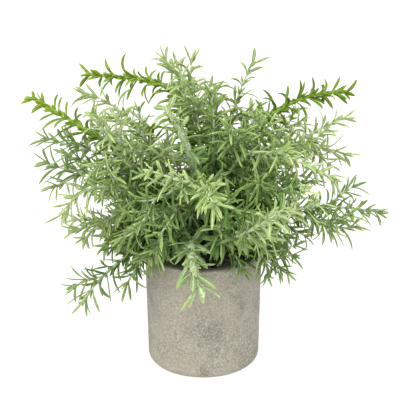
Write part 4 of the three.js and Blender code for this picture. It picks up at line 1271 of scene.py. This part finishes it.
class RosemaryColours(bpy.types.PropertyGroup):
    """Colours of the plant, the pot and the soil."""

    # The deep greens are partly the old leaves' own colour and partly painted shade inside the bush.
    fresh: tint("Fresh", "Leaves of new growth", (0.33, 0.48, 0.018))
    fresh_deep: tint("Fresh, deep", "The same at the shoot's foot", (0.065, 0.15, 0.006))
    dusty: tint("Dusty", "Greyish leaves", (0.325, 0.50, 0.070))
    dusty_deep: tint("Dusty, deep", "The same at the shoot's foot", (0.036, 0.110, 0.003))
    tipped: tint("Tipped", "Leaves with yellow-green tips", (0.36, 0.54, 0.09))
    tipped_deep: tint("Tipped, deep", "The same at the shoot's foot", (0.048, 0.132, 0.005))
    frosted: tint("Frosted", "Leaves with a heavy bloom", (0.24, 0.45, 0.06))
    frosted_deep: tint("Frosted, deep", "The same at the shoot's foot", (0.06, 0.15, 0.02))
    tip: tint("Leaf tip", "Edges and tips of young leaves", (0.60, 0.71, 0.20))
    bloom: tint("Bloom", "The pale film on leaves and stems", (0.68, 0.745, 0.555))
    bark: tint("Bark", "The woody foot of a stem", (0.035, 0.034, 0.022))
    cement: tint("Cement", "The pot", (0.318, 0.290, 0.229))
    cement_dark: tint("Cement, dark", "Darker mottles of the pot", (0.215, 0.205, 0.165))
    cement_light: tint("Cement, light", "Paler mottles of the pot", (0.385, 0.36, 0.29))
    sand_dark: tint("Sand, dark", "Dark grains in the pot's cement", (0.14, 0.127, 0.102))
    sand_light: tint("Sand, light", "Pale grains in the pot's cement", (0.52, 0.495, 0.42))
    # Painted shade: darker than the cement, for the shade inside the pot and on its rim's top.
    rim: tint("Rim", "The rim's top and the pot's inside", (0.20, 0.19, 0.165))
    # Painted light: a mid grey, much paler than the dark soil, that lifts the shade in the pot's hollow.
    soil: tint("Soil", "The filling", (0.34, 0.335, 0.32))


class RosemaryStudio(bpy.types.PropertyGroup):
    """The floor, the light and the camera."""

    floor_size: metres("Floor", "Side of the floor", 8.0)
    floor_shade: tint("Floor shade", "Colour of the floor", (0.3, 0.3, 0.3))
    floor_glow: factor("Floor glow", "Light that the floor gives off", 0.78, min=0)
    ambient: factor("Ceiling", "Light from above, all round", 0.78, min=0)
    walls: factor("Walls", "Light from the sides, all round", 1.14, min=0)
    key: factor("Key", "Strength of the soft light from the left", 2.4, min=0)
    fill: factor("Fill", "Strength of the soft light from the right", 0.8, min=0)
    distance: metres("Distance", "From the camera to the point it looks at", 0.762)
    pitch: factor("Pitch", "How far the camera looks down", np.radians(19.7), subtype="ANGLE")
    lens: factor("Lens", "Focal length", 86.54, unit="CAMERA")


class RosemarySettings(bpy.types.PropertyGroup):
    """All the settings of the potted rosemary."""

    pot: PointerProperty(type=RosemaryPot)
    soil: PointerProperty(type=RosemarySoil)
    leaves: PointerProperty(type=RosemaryLeaves)
    colours: PointerProperty(type=RosemaryColours)
    studio: PointerProperty(type=RosemaryStudio)


# ---- Operators ----

# The finish of each kind of growth: its stems' name, their young green and how much bloom lies on them, and
# its leaves' name, how much bloom lies on them and how yellow-green their tips are.
FINISHES = {
    "fresh": ("Green stem", (0.22, 0.36, 0.02), 0.06, "Fresh leaf", 0.06, 0.35),
    "dusty": ("Dusty stem", (0.24, 0.34, 0.16), 0.75, "Dusty leaf", 0.46, 0.6),
    "tipped": ("Pale stem", (0.34, 0.46, 0.2), 0.85, "Tipped leaf", 0.50, 0.8),
    "frosted": ("Frosted stem", (0.30, 0.42, 0.20), 0.9, "Frosted leaf", 0.60, 0.9),
}
# Where the lamps stand as seen from the origin, and the angles that they shine over in degrees.
KEY_PLACE, KEY_SPREAD, FILL_PLACE, FILL_SPREAD = (-0.45, -0.8, 1.3), 40, (0.9, -0.6, 1.0), 80
ROOM_BAND = (0.1, 0.5)  # heights on a unit ball of sky where the walls' light gives way to the ceiling's
AIM = np.array([0.00358, 0.0, 0.1235])  # what the camera looks at
SENSOR, NEAREST, FURTHEST = 36.0, 0.01, 50.0  # the camera's sensor in millimetres, and its reach in metres


class ROSEMARY_OT_pot(bpy.types.Operator):
    """Build the speckled cement pot"""

    bl_idname = "rosemary.pot"
    bl_label = "Pot"

    def execute(self, context):
        settings = context.scene.rosemary
        mesh = make_pot(settings.pot, [pot_material(settings, shared_groups())])
        new_piece("cement_pot", mesh, "pot")
        return {"FINISHED"}


class ROSEMARY_OT_soil(bpy.types.Operator):
    """Build the soil and its loose lumps"""

    bl_idname = "rosemary.soil"
    bl_label = "Soil"

    def execute(self, context):
        settings = context.scene.rosemary
        mesh = make_soil(settings.soil, [soil_material(settings, shared_groups())])
        new_piece("charcoal_soil", mesh, "soil")
        return {"FINISHED"}


class ROSEMARY_OT_sprigs(bpy.types.Operator):
    """Grow every sprig, with its stems and its leaves"""

    bl_idname = "rosemary.sprigs"
    bl_label = "Sprigs"

    def execute(self, context):
        settings = context.scene.rosemary
        looks, groups = settings.colours, shared_groups()
        wear = {}
        for kind, (stem, young, stem_film, leaf, leaf_film, tipping) in FINISHES.items():
            green, deep = getattr(looks, kind), getattr(looks, kind + "_deep")
            wear[kind] = [
                stem_material(stem, young, settings, stem_film, groups),
                leaf_material(leaf, green, deep, settings, leaf_film, tipping, groups),
            ]
        for name, (kind, _, _) in SPRIGS.items():
            mesh = make_sprig(name, settings, wear[kind])
            new_piece(name.replace("sprig_", "leafy_"), mesh, name)
        return {"FINISHED"}


class ROSEMARY_OT_stage(bpy.types.Operator):
    """Set up the pale floor, the soft lamps and the camera"""

    bl_idname = "rosemary.stage"
    bl_label = "Floor, lamps and camera"

    def execute(self, context):
        studio = context.scene.rosemary.studio
        add_floor(studio)
        add_lamps(studio)
        add_camera(studio)
        return {"FINISHED"}


def add_floor(studio):
    """A square sheet under the pot."""
    half = studio.floor_size / 2
    points = np.array([[-half, -half, 0.0], [half, -half, 0.0], [half, half, 0.0], [-half, half, 0.0]])
    mesh = new_mesh("floor", points, [np.arange(4)[None]], materials=[floor_material(studio)])
    floor = bpy.data.objects.new("floor", mesh)
    bpy.context.scene.collection.objects.link(floor)


def add_lamp(name, strength, spread, place):
    """A wide, soft light from afar that shines from `place` towards the origin; `spread` is its angle."""
    lamp = bpy.data.lights.new(name, "SUN")
    lamp.energy, lamp.angle = strength, np.radians(spread)
    holder = bpy.data.objects.new(name, lamp)
    bpy.context.scene.collection.objects.link(holder)
    holder.location = place
    holder.rotation_euler = Vector(place).to_track_quat("Z", "Y").to_euler()


def add_lamps(studio):
    """A white room whose walls are brighter than its ceiling, and two wide lamps."""
    scene = bpy.context.scene
    world = bpy.data.worlds.new("Soft white room")
    world.use_nodes = True
    tree, background = world.node_tree, world.node_tree.nodes["Background"]
    _, _, height = numbers_of(tree, add(tree, "ShaderNodeTexCoord").outputs["Generated"])
    ceiling = times(tree, ramp(tree, height, *ROOM_BAND), studio.walls - studio.ambient)
    tree.links.new(less(tree, studio.walls, ceiling), background.inputs["Strength"])
    background.inputs["Color"].default_value = (1.0, 1.0, 1.0, 1.0)
    scene.world = world
    scene.view_settings.view_transform = "Standard"
    add_lamp("key_light", studio.key, KEY_SPREAD, KEY_PLACE)
    add_lamp("fill_light", studio.fill, FILL_SPREAD, FILL_PLACE)


def add_camera(studio):
    """The camera looks along +Y and down by its pitch, at a point in the middle of the photograph."""
    back = np.array([0.0, -np.cos(studio.pitch), np.sin(studio.pitch)])
    data = bpy.data.cameras.new("camera")
    data.lens, data.sensor_width, data.sensor_fit = studio.lens, SENSOR, "HORIZONTAL"
    data.clip_start, data.clip_end = NEAREST, FURTHEST
    camera = bpy.data.objects.new("camera", data)
    bpy.context.scene.collection.objects.link(camera)
    camera.location = AIM + back * studio.distance
    camera.rotation_euler = (np.pi / 2 - studio.pitch, 0.0, 0.0)
    bpy.context.scene.camera = camera


class ROSEMARY_PT_sidebar(bpy.types.Panel):
    """Settings and buttons of the potted rosemary"""

    bl_idname = "ROSEMARY_PT_sidebar"
    bl_label = "Potted rosemary"
    bl_space_type = "VIEW_3D"
    bl_region_type = "UI"
    bl_category = "Rosemary"

    def draw(self, context):
        settings = context.scene.rosemary
        for part in (settings.pot, settings.soil, settings.leaves, settings.colours, settings.studio):
            box = self.layout.box()
            for name in part.__annotations__:
                box.prop(part, name)
        for button in (ROSEMARY_OT_pot, ROSEMARY_OT_soil, ROSEMARY_OT_sprigs, ROSEMARY_OT_stage):
            self.layout.operator(button.bl_idname)


CLASSES = (
    RosemaryPot, RosemarySoil, RosemaryLeaves, RosemaryColours, RosemaryStudio, RosemarySettings,
    ROSEMARY_OT_pot, ROSEMARY_OT_soil, ROSEMARY_OT_sprigs, ROSEMARY_OT_stage, ROSEMARY_PT_sidebar,
)


def register():
    for made in CLASSES:
        bpy.utils.register_class(made)
    bpy.types.Scene.rosemary = PointerProperty(type=RosemarySettings)


def unregister():
    del bpy.types.Scene.rosemary
    for made in reversed(CLASSES):
        bpy.utils.unregister_class(made)


def main():
    """Builds every piece and the stage."""
    register()
    bpy.ops.rosemary.pot()
    bpy.ops.rosemary.soil()
    bpy.ops.rosemary.sprigs()
    bpy.ops.rosemary.stage()


if __name__ == "__main__":
    main()
